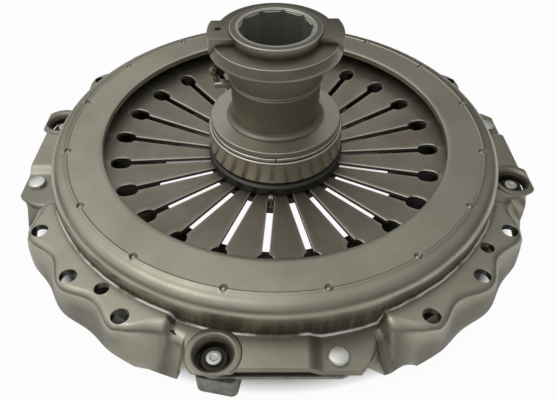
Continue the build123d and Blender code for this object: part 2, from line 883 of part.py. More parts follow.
def make_finger_rings():
    """Rings above and below the finger tips, and the snap ring that keeps the lower one."""
    inner = hub_radius + ring_fit
    gap = finger_clearance
    seat_points = [
        (inner, spring_top(inner) + gap),
        (seat_ring_radius - edge_break, spring_top(seat_ring_radius - edge_break) + gap),
        (seat_ring_radius, spring_top(seat_ring_radius) + gap + edge_break),
        (seat_ring_radius, housing_foot - seat_ring_relief),
        (seat_ring_radius - seat_ring_relief, housing_foot),
        (inner, housing_foot),
    ]
    save(revolved(seat_points, "seat_ring"), "seat_ring")
    rim = thrust_ring_radius
    foot = thrust_foot
    turned = Plane.XY.rotated((0, 0, FRONT + first_slot_angle))
    with BuildPart() as thrust_ring:
        with BuildSketch(Plane.XZ):
            with BuildLine():
                Polyline(
                    (inner, foot),
                    (rim - edge_break, foot),
                    (rim, foot + edge_break),
                    (rim, spring_foot(rim) - gap),
                    (inner, spring_foot(inner) - gap),
                    close=True,
                )
            make_face()
        revolve(axis=Axis.Z)
        lug_start = rim - pin_lug_root
        lug_length = pin_circle_radius + pin_lug_half_width - lug_start
        with BuildSketch(turned.offset(foot)):
            with Locations((lug_start, 0)):
                Rectangle(lug_length, 2 * pin_lug_half_width, align=(Align.MIN, Align.CENTER))
        extrude(amount=spring_foot(lug_start) - gap - foot)
        with BuildSketch(turned.offset(foot)):
            with Locations((pin_circle_radius, 0)):
                Circle(pin_radius)
        extrude(amount=thrust_ring_thickness * 3, mode=Mode.SUBTRACT)
    save(thrust_ring.part, "thrust_ring")
    with BuildPart() as keeper_ring:
        with BuildSketch(Plane.XY.offset(keeper_groove_top - keeper_ring_thickness)):
            Circle(keeper_ring_radius)
            Circle(hub_radius - keeper_groove_depth, mode=Mode.SUBTRACT)
            with Locations((0, keeper_ring_radius)):
                Rectangle(keeper_gap, 2 * (keeper_ring_radius - hub_bore), mode=Mode.SUBTRACT)
        extrude(amount=keeper_ring_thickness)
    save(keeper_ring.part, "keeper_ring")
    with BuildPart() as locating_pin:
        with BuildSketch(turned.offset(foot)):
            with Locations((pin_circle_radius, 0)):
                Circle(pin_radius)
        extrude(amount=pin_top - foot)
        chamfer(locating_pin.faces().sort_by(Axis.Z)[-1].edges(), length=pin_chamfer)
    save(locating_pin.part, "locating_pin")


def make_wire_ring():
    """Open wire ring that lies on the housing's rim, with its gap at the front."""
    height = housing_top + wire_radius
    with BuildPart() as wire_ring:
        with BuildLine() as path:
            CenterArc((0, 0, height), wire_ring_radius, FRONT + wire_gap_angle, 360 - 2 * wire_gap_angle)
        with BuildSketch(Plane(origin=path.line @ 0, z_dir=path.line % 0)):
            Circle(wire_radius)
        sweep()
    save(wire_ring.part, "wire_ring")


def make_grease_nipple():
    """Angled nipple screwed into the neck: a radial stub, a leaning body and a ball head."""
    stub_start = nipple_root - neck_radius
    stub_end = -neck_radius - nipple_stub_length
    with BuildPart() as grease_nipple:
        with Locations(Location((stub_start, 0, nipple_height), (0, -90, 0))):
            Cylinder(
                nipple_stub_radius,
                stub_start - stub_end,
                align=(Align.CENTER, Align.CENTER, Align.MIN),
            )
        elbow = Location((stub_end + nipple_stub_radius, 0, nipple_height), (0, -nipple_lean, 0))
        with Locations(elbow):
            Cylinder(
                nipple_body_radius,
                nipple_body_length,
                align=(Align.CENTER, Align.CENTER, Align.MIN),
            )
            with Locations((0, 0, nipple_body_length)):
                Sphere(nipple_head_radius)
    save(grease_nipple.part, "grease_nipple")


thrust_foot = spring_foot(hub_radius) - finger_clearance - thrust_ring_thickness
keeper_groove_top = thrust_foot

os.makedirs("parts", exist_ok=True)
make_cover()
make_fulcrum_ring()
make_diaphragm_spring()
make_pressure_plate()
make_strap_leaves()
make_cover_rivets()
make_rivet_bushes()
make_plate_rivets()
make_bearing_sleeve()
make_guide_bushes()
make_races()
make_balls_and_cage()
make_race_shields()
make_bearing_housing()
make_finger_rings()
make_wire_ring()
make_grease_nipple()
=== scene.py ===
import math

import bmesh
import bpy
import numpy as np
from mathutils import Matrix, Vector


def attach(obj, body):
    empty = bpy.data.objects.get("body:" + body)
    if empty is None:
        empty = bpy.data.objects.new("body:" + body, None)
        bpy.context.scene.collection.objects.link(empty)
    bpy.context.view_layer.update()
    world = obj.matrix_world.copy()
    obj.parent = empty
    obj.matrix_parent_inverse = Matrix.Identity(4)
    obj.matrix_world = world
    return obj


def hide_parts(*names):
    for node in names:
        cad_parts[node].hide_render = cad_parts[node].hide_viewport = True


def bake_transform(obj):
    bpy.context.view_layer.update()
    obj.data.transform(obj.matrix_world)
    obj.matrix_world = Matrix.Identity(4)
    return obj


# Looks of a pull-type diaphragm spring clutch with its release bearing.
# Shapes are written in millimetres and turned into metres as each mesh is made.
# Angles are in degrees from the front (-Y), anticlockwise seen from above.
# Shader values work on plain coordinates and are in metres.

MM = 0.001
QUARTERS = 4
EDGE_STEP = 0.45
CREASE = 35
COVER_CREASE = 40

CROWN_TOP = 66.0
SHEET = 6.0
OPENING = 159.0
WALL = 206.0
WALL_FILLET = 2.2
SHOULDER = 12.0
FLANGE_TOP = 44.0
PAD_TOP = 37.0
LOW_PAD_TOP = 32.0
PAD_EDGE = 232.0
PAD_STEP = (21.5, 33.5)
HOOK_EDGE = 228.8
NOTCH_FLOOR = 226.0
NOTCH_EDGE = 235.5
NOTCH_RISE = 14.5
HOOK_RISE = 19.5
SKIRT_FOOT = 11.0
SHEET_EDGE = 0.9
EDGE_ROUND = 7.8
EDGE_SWELL = 5.2
BOLT_CIRCLE = 225.0
BOLT_HOLE = 6.5
BOLT_STEP = 15.0
DOWEL_CIRCLE = 215.0
DOWEL_HOLE = 5.4
DIMPLES = 16
DIMPLE_CIRCLE = 189.6

RIVET_CIRCLE = 225.0
RIVET_ANGLE = 11.25
SOCKET_HOLE = 17.0
SOCKET_CUT = 235.8
PAD_NAMES = ("front", "right", "rear", "left")
LEAF_NAMES = ("upper", "middle", "lower")
LEAF = 1.2
LEAF_HALF = 12.0
LEAF_EDGE = 0.2
STRAP_TOP = 26.0

FINGERS = 24
FINGER_PITCH = 360 / FINGERS
FIRST_SLOT = -3.5
SLOT_HALF = 3.0
KEYHOLE = 7.5
KEYHOLE_START = 145.0
KEYHOLE_END = 149.0
RING_START = 156.5
SPRING_SHEET = 4.5
SPRING_LEVEL = 45.0
LEVEL_CIRCLE = 147.0
FINGER_SLOPE = 0.1125
RING_SLOPE = 0.19
FINGER_TIP = 52.0
SPRING_REACH = 190.8

SLEEVE_TURN = 2.6
EAR_REACH = 56.6
EAR_FRONT = 15.0
NECK = 39.5
NECK_FOOT = 54.0
BUSH_SEAT = 33.0
FORK_FACE = 148.0
FLANGE_RIM = 157.9
EAR_TOP = 163.9
BOSS_TOP = 166.7
HOUSING_FLOOR = 49.5
FACETS = 10

PHOTO_WIDTH = 556
FOCAL_PIXELS = 539.7

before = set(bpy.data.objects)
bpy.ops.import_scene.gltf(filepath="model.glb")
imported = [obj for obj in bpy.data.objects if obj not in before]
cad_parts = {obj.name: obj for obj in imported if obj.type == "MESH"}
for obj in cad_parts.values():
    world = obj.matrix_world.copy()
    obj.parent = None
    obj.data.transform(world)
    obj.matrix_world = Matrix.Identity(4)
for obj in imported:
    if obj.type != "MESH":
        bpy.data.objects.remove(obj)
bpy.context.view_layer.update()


def smooth_step(value, low, high):
    """A share from 0 to 1 that starts and ends softly."""
    share = np.clip((value - low) / (high - low), 0, 1)
    return share * share * (3 - 2 * share)


def linked(name, data):
    """A new object that stands in the scene."""
    piece = bpy.data.objects.new(name, data)
    bpy.context.scene.collection.objects.link(piece)
    return piece


def poured(shaper, name):
    """A mesh with what was built in the shaper, which is freed."""
    mesh = bpy.data.meshes.new(name)
    shaper.to_mesh(mesh)
    shaper.free()
    return mesh


def make_mesh(name, points, faces, material, crease=CREASE):
    """A smooth-shaded object from points in millimetres, sharp where faces meet above the crease angle."""
    mesh = bpy.data.meshes.new(name)
    mesh.from_pydata((np.asarray(points, float) * MM).tolist(), [], faces)
    mesh.validate()
    piece = linked(name, mesh)
    finish_mesh(piece, material, crease)
    return piece


def loop_faces(rows, size, joined=True):
    """Four-cornered faces between rows of points, each row a closed ring; the last row joins the first."""
    faces = []
    for row in range(rows if joined else rows - 1):
        following = (row + 1) % rows
        for item in range(size):
            beside = (item + 1) % size
            corners = (row, item), (following, item), (following, beside), (row, beside)
            faces.append(tuple(line * size + point for line, point in corners))
    return faces


def bar_faces(rows, size):
    """The faces of a bar that runs through rows of points, with a face at each end."""
    ends = [tuple(range(size)), tuple(range((rows - 1) * size, rows * size))]
    return ends + loop_faces(rows, size, joined=False)


def finish_mesh(piece, material, crease=CREASE):
    """Turns the faces outwards, sets the sharp edges and gives the piece its one material."""
    cleaner = bmesh.new()
    cleaner.from_mesh(piece.data)
    bmesh.ops.recalc_face_normals(cleaner, faces=cleaner.faces)
    cleaner.to_mesh(piece.data)
    cleaner.free()
    piece.data.shade_smooth()
    piece.data.set_sharp_from_angle(angle=math.radians(crease))
    piece.data.materials.clear()
    piece.data.materials.append(material)


def rounded(corners, steps=4):
    """A closed (radius, height) outline with each corner (r, z, rounding) turned into an arc."""
    outline = []
    count = len(corners)
    for index in range(count):
        r, z, rounding = corners[index]
        before = np.array(corners[index - 1][:2], float)
        after = np.array(corners[(index + 1) % count][:2], float)
        here = np.array((r, z), float)
        if rounding <= 0:
            outline.append((r, z))
            continue
        to_before = (before - here) / np.linalg.norm(before - here)
        to_after = (after - here) / np.linalg.norm(after - here)
        half = math.acos(np.clip(to_before @ to_after, -1, 1)) / 2
        reach = rounding / math.tan(half)
        limit = 0.49 * min(np.linalg.norm(before - here), np.linalg.norm(after - here))
        if reach > limit:
            rounding *= limit / reach
            reach = limit
        bisector = (to_before + to_after) / np.linalg.norm(to_before + to_after)
        centre = here + bisector * rounding / math.sin(half)
        start = here + to_before * reach - centre
        end = here + to_after * reach - centre
        sweep = math.atan2(start[0] * end[1] - start[1] * end[0], start @ end)
        for step in range(steps + 1):
            turn = sweep * step / steps
            cos, sin = math.cos(turn), math.sin(turn)
            outline.append(
                (
                    centre[0] + start[0] * cos - start[1] * sin,
                    centre[1] + start[0] * sin + start[1] * cos,
                )
            )
    return outline


def lathe(name, outline, material, segments, centre=(0, 0), edge_material=None):
    """A closed outline of (radius, height) turned about the vertical through centre.

    Short steps of the outline, which are its rounded edges, take the edge material where one is given.
    """
    points = []
    rows = len(outline)
    for segment in range(segments):
        angle = 2 * math.pi * segment / segments
        for r, z in outline:
            points.append((centre[0] + r * math.sin(angle), centre[1] - r * math.cos(angle), z))
    piece = make_mesh(name, points, loop_faces(segments, rows), material)
    keep = piece.data.attributes.new("turned", "FLOAT_VECTOR", "POINT")
    rows_out = [value * MM for _ in range(segments) for r, z in outline for value in (r, z, 0.0)]
    keep.data.foreach_set("vector", rows_out)
    if edge_material:
        steps = [math.dist(outline[row], outline[(row + 1) % rows]) for row in range(rows)]
        piece.data.materials.append(edge_material)
        marks = [int(steps[row] < EDGE_STEP) for _ in range(segments) for row in range(rows)]
        piece.data.polygons.foreach_set("material_index", marks)
    weld(piece)
    return piece


def weld(piece):
    """Joins points that lie on each other, such as those of a lathe on its own axis."""
    cleaner = bmesh.new()
    cleaner.from_mesh(piece.data)
    bmesh.ops.remove_doubles(cleaner, verts=cleaner.verts, dist=0.002 * MM)
    bmesh.ops.dissolve_degenerate(cleaner, edges=cleaner.edges, dist=0.0005 * MM)
    bmesh.ops.recalc_face_normals(cleaner, faces=cleaner.faces)
    cleaner.to_mesh(piece.data)
    cleaner.free()


def block(name, outline, foot, top, material, edge, edge_material=None):
    """A flat outline of (x, y) points raised from foot to top, with its edges rounded."""
    shaper = bmesh.new()
    ring = [shaper.verts.new((x * MM, y * MM, foot * MM)) for x, y in outline]
    base = shaper.faces.new(ring)
    raised = bmesh.ops.extrude_face_region(shaper, geom=[base])
    upper = [item for item in raised["geom"] if isinstance(item, bmesh.types.BMVert)]
    bmesh.ops.translate(shaper, verts=upper, vec=(0, 0, (top - foot) * MM))
    bmesh.ops.recalc_face_normals(shaper, faces=shaper.faces)
    if edge > 0:
        sharp = [e for e in shaper.edges if e.calc_face_angle(0) > math.radians(CREASE)]
        rounding = bmesh.ops.bevel(
            shaper,
            geom=sharp,
            offset=edge * MM,
            segments=2,
            profile=0.5,
            affect="EDGES",
            clamp_overlap=True,
        )
        for face in rounding["faces"]:
            face.material_index = 1 if edge_material else 0
    piece = linked(name, poured(shaper, name))
    finish_mesh(piece, material)
    if edge_material:
        piece.data.materials.append(edge_material)
    return piece


def join(pieces, name):
    """One object out of several that share a material."""
    shaper = bmesh.new()
    for piece in pieces:
        shaper.from_mesh(piece.data)
    material = pieces[0].data.materials[0]
    for piece in pieces:
        bpy.data.objects.remove(piece)
    whole = linked(name, poured(shaper, name))
    whole.data.materials.append(material)
    return whole


def combine(piece, tool, operation, solver="EXACT", crease=CREASE):
    """Cuts the tool out of the piece, or adds it, and removes the tool."""
    change = piece.modifiers.new("shape", "BOOLEAN")
    change.operation = operation
    change.object = tool
    change.solver = solver
    bpy.context.view_layer.update()
    sight = bpy.context.evaluated_depsgraph_get()
    result = bpy.data.meshes.new_from_object(piece.evaluated_get(sight))
    piece.modifiers.clear()
    finishes = list(piece.data.materials)
    indices = [0] * len(result.polygons)
    result.polygons.foreach_get("material_index", indices)
    piece.data = result
    bpy.data.objects.remove(tool)
    finish_mesh(piece, finishes[0], crease)
    for finish in finishes[1:]:
        piece.data.materials.append(finish)
    piece.data.polygons.foreach_set("material_index", indices)
    return piece


def place(r, angle):
    """(x, y) of a point at a radius and an angle from the front."""
    turn = math.radians(angle)
    return (r * math.sin(turn), -r * math.cos(turn))


# Shader groups


def shade_group(name, inputs, outputs):
    """An empty shader group with its sockets: the group, its entry and its exit."""
    group = bpy.data.node_groups.new(name, "ShaderNodeTree")
    for label, kind, value in inputs:
        socket = group.interface.new_socket(name=label, in_out="INPUT", socket_type=kind)
        if value is not None:
            socket.default_value = value
    for label, kind in outputs:
        group.interface.new_socket(name=label, in_out="OUTPUT", socket_type=kind)
    entry = group.nodes.new("NodeGroupInput")
    leave = group.nodes.new("NodeGroupOutput")
    return group, entry, leave


def add_node(tree, kind, **values):
    """A node with its settings; a name that starts with in_ sets the input of that name."""
    node = tree.nodes.new(kind)
    for key, value in values.items():
        if key.startswith("in_"):
            node.inputs[key[3:].replace("_", " ")].default_value = value
        else:
            setattr(node, key, value)
    return node


def math_node(tree, operation, first, second, third=None):
    """A maths node whose inputs are sockets or plain numbers; gives its result socket."""
    node = tree.nodes.new("ShaderNodeMath")
    node.operation = operation
    for index, item in enumerate((first, second, third)):
        if item is None:
            continue
        if isinstance(item, (int, float)):
            node.inputs[index].default_value = item
        else:
            tree.links.new(item, node.inputs[index])
    return node.outputs[0]


def product(tree, *factors):
    """All the factors multiplied, sockets or plain numbers."""
    result = factors[0]
    for factor in factors[1:]:
        result = math_node(tree, "MULTIPLY", result, factor)
    return result


def mapped(tree, value, low, high, to_low=0.0, to_high=1.0):
    """The value moved from one range to another and held inside it."""
    node = add_node(tree, "ShaderNodeMapRange")
    tree.links.new(value, node.inputs["Value"])
    for name, number in (("From Min", low), ("From Max", high), ("To Min", to_low), ("To Max", to_high)):
        node.inputs[name].default_value = number
    return node.outputs["Result"]


def mixed(tree, share, first, second):
    """A colour between two, which are sockets or plain colours."""
    node = add_node(tree, "ShaderNodeMix", data_type="RGBA")
    tree.links.new(share, node.inputs["Factor"])
    for name, item in (("A", first), ("B", second)):
        if isinstance(item, tuple):
            node.inputs[name].default_value = item
        else:
            tree.links.new(item, node.inputs[name])
    return node.outputs["Result"]


def noise(tree, place_in, scale, detail=3.0, roughness=0.6):
    """A cloudy value over the given coordinates."""
    node = add_node(tree, "ShaderNodeTexNoise", in_Scale=scale, in_Detail=detail, in_Roughness=roughness)
    tree.links.new(place_in, node.inputs["Vector"])
    return node.outputs["Fac"]


def squeezed(tree, spot, factors):
    """Coordinates scaled along each axis, which stretches a pattern laid over them."""
    node = add_node(tree, "ShaderNodeVectorMath", operation="MULTIPLY")
    node.inputs[1].default_value = factors
    tree.links.new(spot, node.inputs[0])
    return node.outputs[0]


def radius_and_height(tree, spot):
    """Distance from the part's axis, and height."""
    parts = add_node(tree, "ShaderNodeSeparateXYZ")
    tree.links.new(spot, parts.inputs[0])
    flat = add_node(tree, "ShaderNodeCombineXYZ")
    tree.links.new(parts.outputs["X"], flat.inputs["X"])
    tree.links.new(parts.outputs["Y"], flat.inputs["Y"])
    length = add_node(tree, "ShaderNodeVectorMath", operation="LENGTH")
    tree.links.new(flat.outputs[0], length.inputs[0])
    return length.outputs["Value"], parts.outputs["Z"]


def placed(tree, group):
    """A shader group set into a material."""
    node = tree.nodes.new("ShaderNodeGroup")
    node.node_tree = group
    return node


def handled_steel_group():
    """Metal as it comes from the press: broad stains, painted shade mixed with grime that darkens hollows
    and occluded corners, and convex edges lightened as wear and painted highlight.
    """
    group, entry, leave = shade_group(
        "handled_steel",
        (
            ("Tone", "NodeSocketColor", (0.3, 0.3, 0.27, 1)),
            ("Stain", "NodeSocketColor", (0.22, 0.2, 0.17, 1)),
            ("Stain Share", "NodeSocketFloat", 0.5), ("Roughness", "NodeSocketFloat", 0.35),
            ("Grain", "NodeSocketFloat", 0.1), ("Unevenness", "NodeSocketFloat", 0.1),
            ("Edge Wear And Highlight", "NodeSocketFloat", 0.5), ("Shade And Grime", "NodeSocketFloat", 0.5),
            ("Hollows", "NodeSocketFloat", 1.0), ("Reach", "NodeSocketFloat", 0.014),
        ),
        (
            ("Color", "NodeSocketColor"), ("Roughness", "NodeSocketFloat"),
            ("Normal", "NodeSocketVector"),
        ),
    )
    link = group.links.new
    spot = add_node(group, "ShaderNodeTexCoord").outputs["Object"]
    broad = noise(group, spot, 14.0, 5.0)
    fine = noise(group, spot, 420.0, 3.0, 0.7)
    swell = noise(group, spot, 70.0, 2.0)
    speck = noise(group, spot, 160.0, 4.0, 0.75)
    amount = math_node(group, "MULTIPLY", mapped(group, broad, 0.4, 0.66), entry.outputs["Stain Share"])
    tone = mixed(group, amount, entry.outputs["Tone"], entry.outputs["Stain"])
    shape = add_node(group, "ShaderNodeNewGeometry").outputs["Pointiness"]
    # Convex edges are lightened towards a pale colour: wear and painted highlight.
    edge = mapped(group, shape, 0.515, 0.56)
    edge_wear_and_shine = product(group, edge, entry.outputs["Edge Wear And Highlight"], mapped(group, speck, 0.3, 0.55, 0.45, 1.0))
    edge_lightened = mixed(group, edge_wear_and_shine, tone, (0.72, 0.7, 0.62, 1))
    # Hollows and occluded corners are darkened towards near black: painted shade mixed with grime.
    hollow = product(group, mapped(group, shape, 0.49, 0.43), entry.outputs["Hollows"])
    shade = add_node(group, "ShaderNodeAmbientOcclusion", samples=6)
    link(entry.outputs["Reach"], shade.inputs["Distance"])
    corner = mapped(group, shade.outputs["AO"], 0.75, 0.3)
    corner = math_node(group, "MULTIPLY", corner, mapped(group, speck, 0.35, 0.6, 0.5, 1.0))
    shade_and_grime_mask = math_node(group, "MAXIMUM", hollow, corner)
    shade_and_grime_mask = math_node(group, "MULTIPLY", shade_and_grime_mask, entry.outputs["Shade And Grime"])
    link(mixed(group, shade_and_grime_mask, edge_lightened, (0.05, 0.045, 0.035, 1)), leave.inputs["Color"])
    uneven = math_node(group, "SUBTRACT", fine, 0.5)
    rough = math_node(group, "MULTIPLY_ADD", uneven, entry.outputs["Grain"], entry.outputs["Roughness"])
    rough = math_node(group, "MULTIPLY_ADD", amount, 0.1, rough)
    rough = math_node(group, "MULTIPLY_ADD", shade_and_grime_mask, 0.25, rough)
    rough = math_node(group, "MULTIPLY_ADD", edge_wear_and_shine, -0.1, rough)
    link(rough, leave.inputs["Roughness"])
    relief = add_node(group, "ShaderNodeBump", in_Distance=0.0004)
    link(entry.outputs["Unevenness"], relief.inputs["Strength"])
    link(math_node(group, "MULTIPLY_ADD", fine, 0.12, swell), relief.inputs["Height"])
    link(relief.outputs["Normal"], leave.inputs["Normal"])
    return group


def turning_marks_group():
    """Fine rings left by a lathe round the piece's own axis, as a bumped normal."""
    group, entry, leave = shade_group(
        "turning_marks",
        (
            ("Fineness", "NodeSocketFloat", 2600.0), ("Depth", "NodeSocketFloat", 0.15),
            ("Normal", "NodeSocketVector", None),
        ),
        (("Normal", "NodeSocketVector"),),
    )
    own = add_node(group, "ShaderNodeAttribute", attribute_name="turned").outputs["Vector"]
    parts = add_node(group, "ShaderNodeSeparateXYZ")
    group.links.new(own, parts.inputs[0])
    across = math_node(group, "MULTIPLY", parts.outputs["X"], entry.outputs["Fineness"])
    along = math_node(group, "MULTIPLY", parts.outputs["Y"], entry.outputs["Fineness"])
    pair = add_node(group, "ShaderNodeCombineXYZ")
    group.links.new(across, pair.inputs["X"])
    group.links.new(along, pair.inputs["Y"])
    rings = noise(group, pair.outputs[0], 1.0, 3.0, 0.6)
    relief = add_node(group, "ShaderNodeBump", in_Distance=0.0002)
    group.links.new(entry.outputs["Depth"], relief.inputs["Strength"])
    group.links.new(rings, relief.inputs["Height"])
    group.links.new(entry.outputs["Normal"], relief.inputs["Normal"])
    group.links.new(relief.outputs["Normal"], leave.inputs["Normal"])
    return group


def wall_shade_streaks_group():
    """Painted shade on the cover's short wall, broken into dark upright die streaks: a mask over the wall's
    band.
    """
    group, _, leave = shade_group("wall_shade_streaks", (), (("Mask", "NodeSocketFloat"),))
    spot = add_node(group, "ShaderNodeTexCoord").outputs["Object"]
    radius, height = radius_and_height(group, spot)
    upright = squeezed(group, spot, (1.0, 1.0, 0.06))
    streaks = mapped(group, noise(group, upright, 260.0, 3.0, 0.7), 0.3, 0.62, 0.45, 1.0)
    mask = product(
        group,
        mapped(group, radius, 0.2025, 0.2052),
        mapped(group, radius, 0.2105, 0.2066),
        mapped(group, height, 0.058, 0.047),
        mapped(group, height, 0.031, 0.036),
        streaks,
    )
    group.links.new(mask, leave.inputs["Mask"])
    return group


def crease_highlight_group():
    """Painted highlight at the foot of the cover's wall: a broken mask along the inner crease."""
    group, _, leave = shade_group("crease_highlight", (), (("Mask", "NodeSocketFloat"),))
    spot = add_node(group, "ShaderNodeTexCoord").outputs["Object"]
    radius, height = radius_and_height(group, spot)
    waver = math_node(group, "MULTIPLY_ADD", noise(group, spot, 45.0, 2.0), 0.0022, radius)
    mask = product(
        group,
        mapped(group, waver, 0.2074, 0.2078),
        mapped(group, waver, 0.2093, 0.2088),
        mapped(group, noise(group, spot, 26.0, 3.0, 0.6), 0.4, 0.52),
        mapped(group, height, 0.0475, 0.046),
    )
    group.links.new(mask, leave.inputs["Mask"])
    return group


def mark_pressing(material):
    """Lays darker patches low on the skirt, painted shade in die streaks on the wall and a painted highlight
    along the crease over the cover's own colour and roughness.
    """
    tree = material.node_tree
    surface = tree.nodes["Principled BSDF"]
    color = surface.inputs["Base Color"].links[0].from_socket
    rough = surface.inputs["Roughness"].links[0].from_socket
    share = product(tree, placed(tree, WALL_SHADE_STREAKS).outputs["Mask"], 0.8)
    line = product(tree, placed(tree, CREASE_HIGHLIGHT).outputs["Mask"], 0.9)
    spot = add_node(tree, "ShaderNodeTexCoord").outputs["Object"]
    axes = add_node(tree, "ShaderNodeSeparateXYZ")
    tree.links.new(spot, axes.inputs[0])
    # Darker patches on the lower skirt, below a height.
    patches = mapped(tree, noise(tree, spot, 17.0, 2.0, 0.5), 0.42, 0.54, 0.15, 0.75)
    skirt = product(tree, patches, mapped(tree, axes.outputs["Z"], 0.039, 0.029))
    low_skirt_darkened = mixed(tree, skirt, color, (0.22, 0.212, 0.175, 1))
    # Painted shade over the wall, in upright streaks.
    wall_shaded = mixed(tree, share, low_skirt_darkened, (0.08, 0.074, 0.06, 1))
    # Painted highlight: the crease line is near white and less metallic.
    tree.links.new(mixed(tree, line, wall_shaded, (0.95, 0.94, 0.88, 1)), surface.inputs["Base Color"])
    tree.links.new(math_node(tree, "MULTIPLY_ADD", line, -0.75, 1.0), surface.inputs["Metallic"])
    tree.links.new(math_node(tree, "MULTIPLY_ADD", share, 0.15, rough), surface.inputs["Roughness"])


HANDLED_STEEL = handled_steel_group()
TURNING_MARKS = turning_marks_group()
WALL_SHADE_STREAKS = wall_shade_streaks_group()
CREASE_HIGHLIGHT = crease_highlight_group()


def metal(
    name,
    tone,
    stain,
    share,
    roughness,
    grain=0.12,
    unevenness=0.12,
    edge_wear_and_highlight=0.5,
    shade_and_grime=0.6,
    hollows=1.0,
    reach=0.014,
    metallic=1.0,
    rings=0.0,
    stretch=0.0,
):
    """A finish of this clutch: a tone stained to a share, with its own roughness, edge wear and painted
    highlight, and painted shade with grime.
    """
    material = bpy.data.materials.new(name)
    material.use_nodes = True
    tree = material.node_tree
    surface = tree.nodes["Principled BSDF"]
    look = placed(tree, HANDLED_STEEL)
    settings = (
        ("Tone", (*tone, 1)),
        ("Stain", (*stain, 1)),
        ("Stain Share", share), ("Roughness", roughness), ("Grain", grain),
        ("Unevenness", unevenness), ("Edge Wear And Highlight", edge_wear_and_highlight), ("Shade And Grime", shade_and_grime), ("Hollows", hollows),
        ("Reach", reach),
    )
    for label, value in settings:
        look.inputs[label].default_value = value
    surface.inputs["Metallic"].default_value = metallic
    tree.links.new(look.outputs["Color"], surface.inputs["Base Color"])
    tree.links.new(look.outputs["Roughness"], surface.inputs["Roughness"])
    normal = look.outputs["Normal"]
    if rings > 0:
        marks = placed(tree, TURNING_MARKS)
        marks.inputs["Depth"].default_value = rings
        tree.links.new(normal, marks.inputs["Normal"])
        normal = marks.outputs["Normal"]
    if stretch > 0:
        surface.inputs["Anisotropic"].default_value = stretch
        around = add_node(tree, "ShaderNodeTangent", direction_type="RADIAL", axis="Z")
        tree.links.new(around.outputs["Tangent"], surface.inputs["Tangent"])
    tree.links.new(normal, surface.inputs["Normal"])
    return material


PRESSED_STEEL = metal(
    "pressed_steel", (0.49, 0.468, 0.378), (0.38, 0.36, 0.28), share=0.75, roughness=0.33,
    grain=0.14, unevenness=0.16, edge_wear_and_highlight=0.35, shade_and_grime=0.75,
)
mark_pressing(PRESSED_STEEL)
# Painted shade: a darker copy of the cover's steel, with stronger corner darkening, for the socket collars.
SHADED_SOCKET_STEEL = metal(
    "shaded_socket_steel", (0.36, 0.343, 0.275), (0.25, 0.235, 0.185), share=0.7, roughness=0.36, edge_wear_and_highlight=0.3,
    shade_and_grime=0.95, reach=0.02,
)
SPRING_STEEL = metal(
    "spring_steel", (0.37, 0.337, 0.275), (0.25, 0.215, 0.17), share=0.75, roughness=0.48,
    unevenness=0.15, edge_wear_and_highlight=0.3,
)
# Painted highlight: a pale finish on the fingers' rounded edges along the slots and keyholes.
SPRING_EDGE_HIGHLIGHT = metal(
    "spring_edge_highlight", (0.85, 0.82, 0.72), (0.6, 0.56, 0.47), share=0.5, roughness=0.4, edge_wear_and_highlight=0.0,
    shade_and_grime=0.2, metallic=0.6,
)
FULCRUM_STEEL = metal(
    "fulcrum_steel", (0.3, 0.28, 0.25), (0.2, 0.19, 0.17), share=0.4, roughness=0.35,
)
STRAP_STEEL = metal(
    "strap_steel", (0.15, 0.143, 0.122), (0.1, 0.095, 0.08), share=0.5, roughness=0.42,
)
# Painted shade: the rivet bushes down in the sockets are made near black.
SHADOWED_BUSH_STEEL = metal(
    "shadowed_bush_steel", (0.075, 0.07, 0.06), (0.05, 0.047, 0.04), share=0.5, roughness=0.42, edge_wear_and_highlight=0.0,
    shade_and_grime=1.0, reach=0.02,
)
RIVET_STEEL = metal(
    "rivet_steel", (0.95, 0.95, 0.9), (0.8, 0.8, 0.75), share=0.5, roughness=0.34, grain=0.2,
    shade_and_grime=0.35, rings=0.6,
)
# Painted shade: a darker copy of the rivet steel for the rivets down in the sockets.
SHADED_RIVET = metal(
    "shaded_rivet", (0.74, 0.73, 0.68), (0.6, 0.59, 0.54), share=0.6, roughness=0.42, grain=0.2,
    unevenness=0.2, shade_and_grime=0.5,
)
PLATE_IRON = metal(
    "plate_iron", (0.115, 0.108, 0.092), (0.07, 0.066, 0.056), share=0.6, roughness=0.52, grain=0.2,
    unevenness=0.5,
)
SLEEVE_STEEL = metal(
    "sleeve_steel", (0.3, 0.283, 0.228), (0.21, 0.195, 0.15), share=0.7, roughness=0.38, edge_wear_and_highlight=0.0,
    shade_and_grime=0.85, hollows=0.0, reach=0.03, rings=0.15,
)
SHIELD_STEEL = metal(
    "shield_steel", (0.6, 0.573, 0.485), (0.46, 0.435, 0.365), share=0.6, roughness=0.42, edge_wear_and_highlight=0.0,
    shade_and_grime=0.5, hollows=0.0, rings=0.12,
)
# Painted highlight: a pale finish on the sleeve's small rounded edges, so that they show as bright lines.
EDGE_HIGHLIGHT = metal(
    "painted_edge_highlight", (0.85, 0.83, 0.74), (0.6, 0.58, 0.5), share=0.5, roughness=0.32, edge_wear_and_highlight=0.0,
    shade_and_grime=0.1, hollows=0.0, metallic=0.7,
)
HOUSING_STEEL = metal(
    "housing_steel", (0.66, 0.635, 0.555), (0.52, 0.5, 0.43), share=0.3, roughness=0.24, grain=0.06,
    unevenness=0.0, edge_wear_and_highlight=0.0, shade_and_grime=0.3, hollows=0.0, rings=0.1, stretch=0.5,
)
BRIGHT_WIRE = metal(
    "bright_wire", (0.75, 0.735, 0.66), (0.5, 0.49, 0.44), share=0.3, roughness=0.28, hollows=0.0,
)
SEAT_RING_STEEL = metal(
    "seat_ring_steel", (0.09, 0.088, 0.085), (0.06, 0.058, 0.055), share=0.5, roughness=0.4,
)
BALL_STEEL = metal(
    "ball_steel", (0.7, 0.7, 0.7), (0.6, 0.6, 0.6), share=0.1, roughness=0.12, grain=0.02,
    unevenness=0.0, edge_wear_and_highlight=0.0, shade_and_grime=0.0,
)
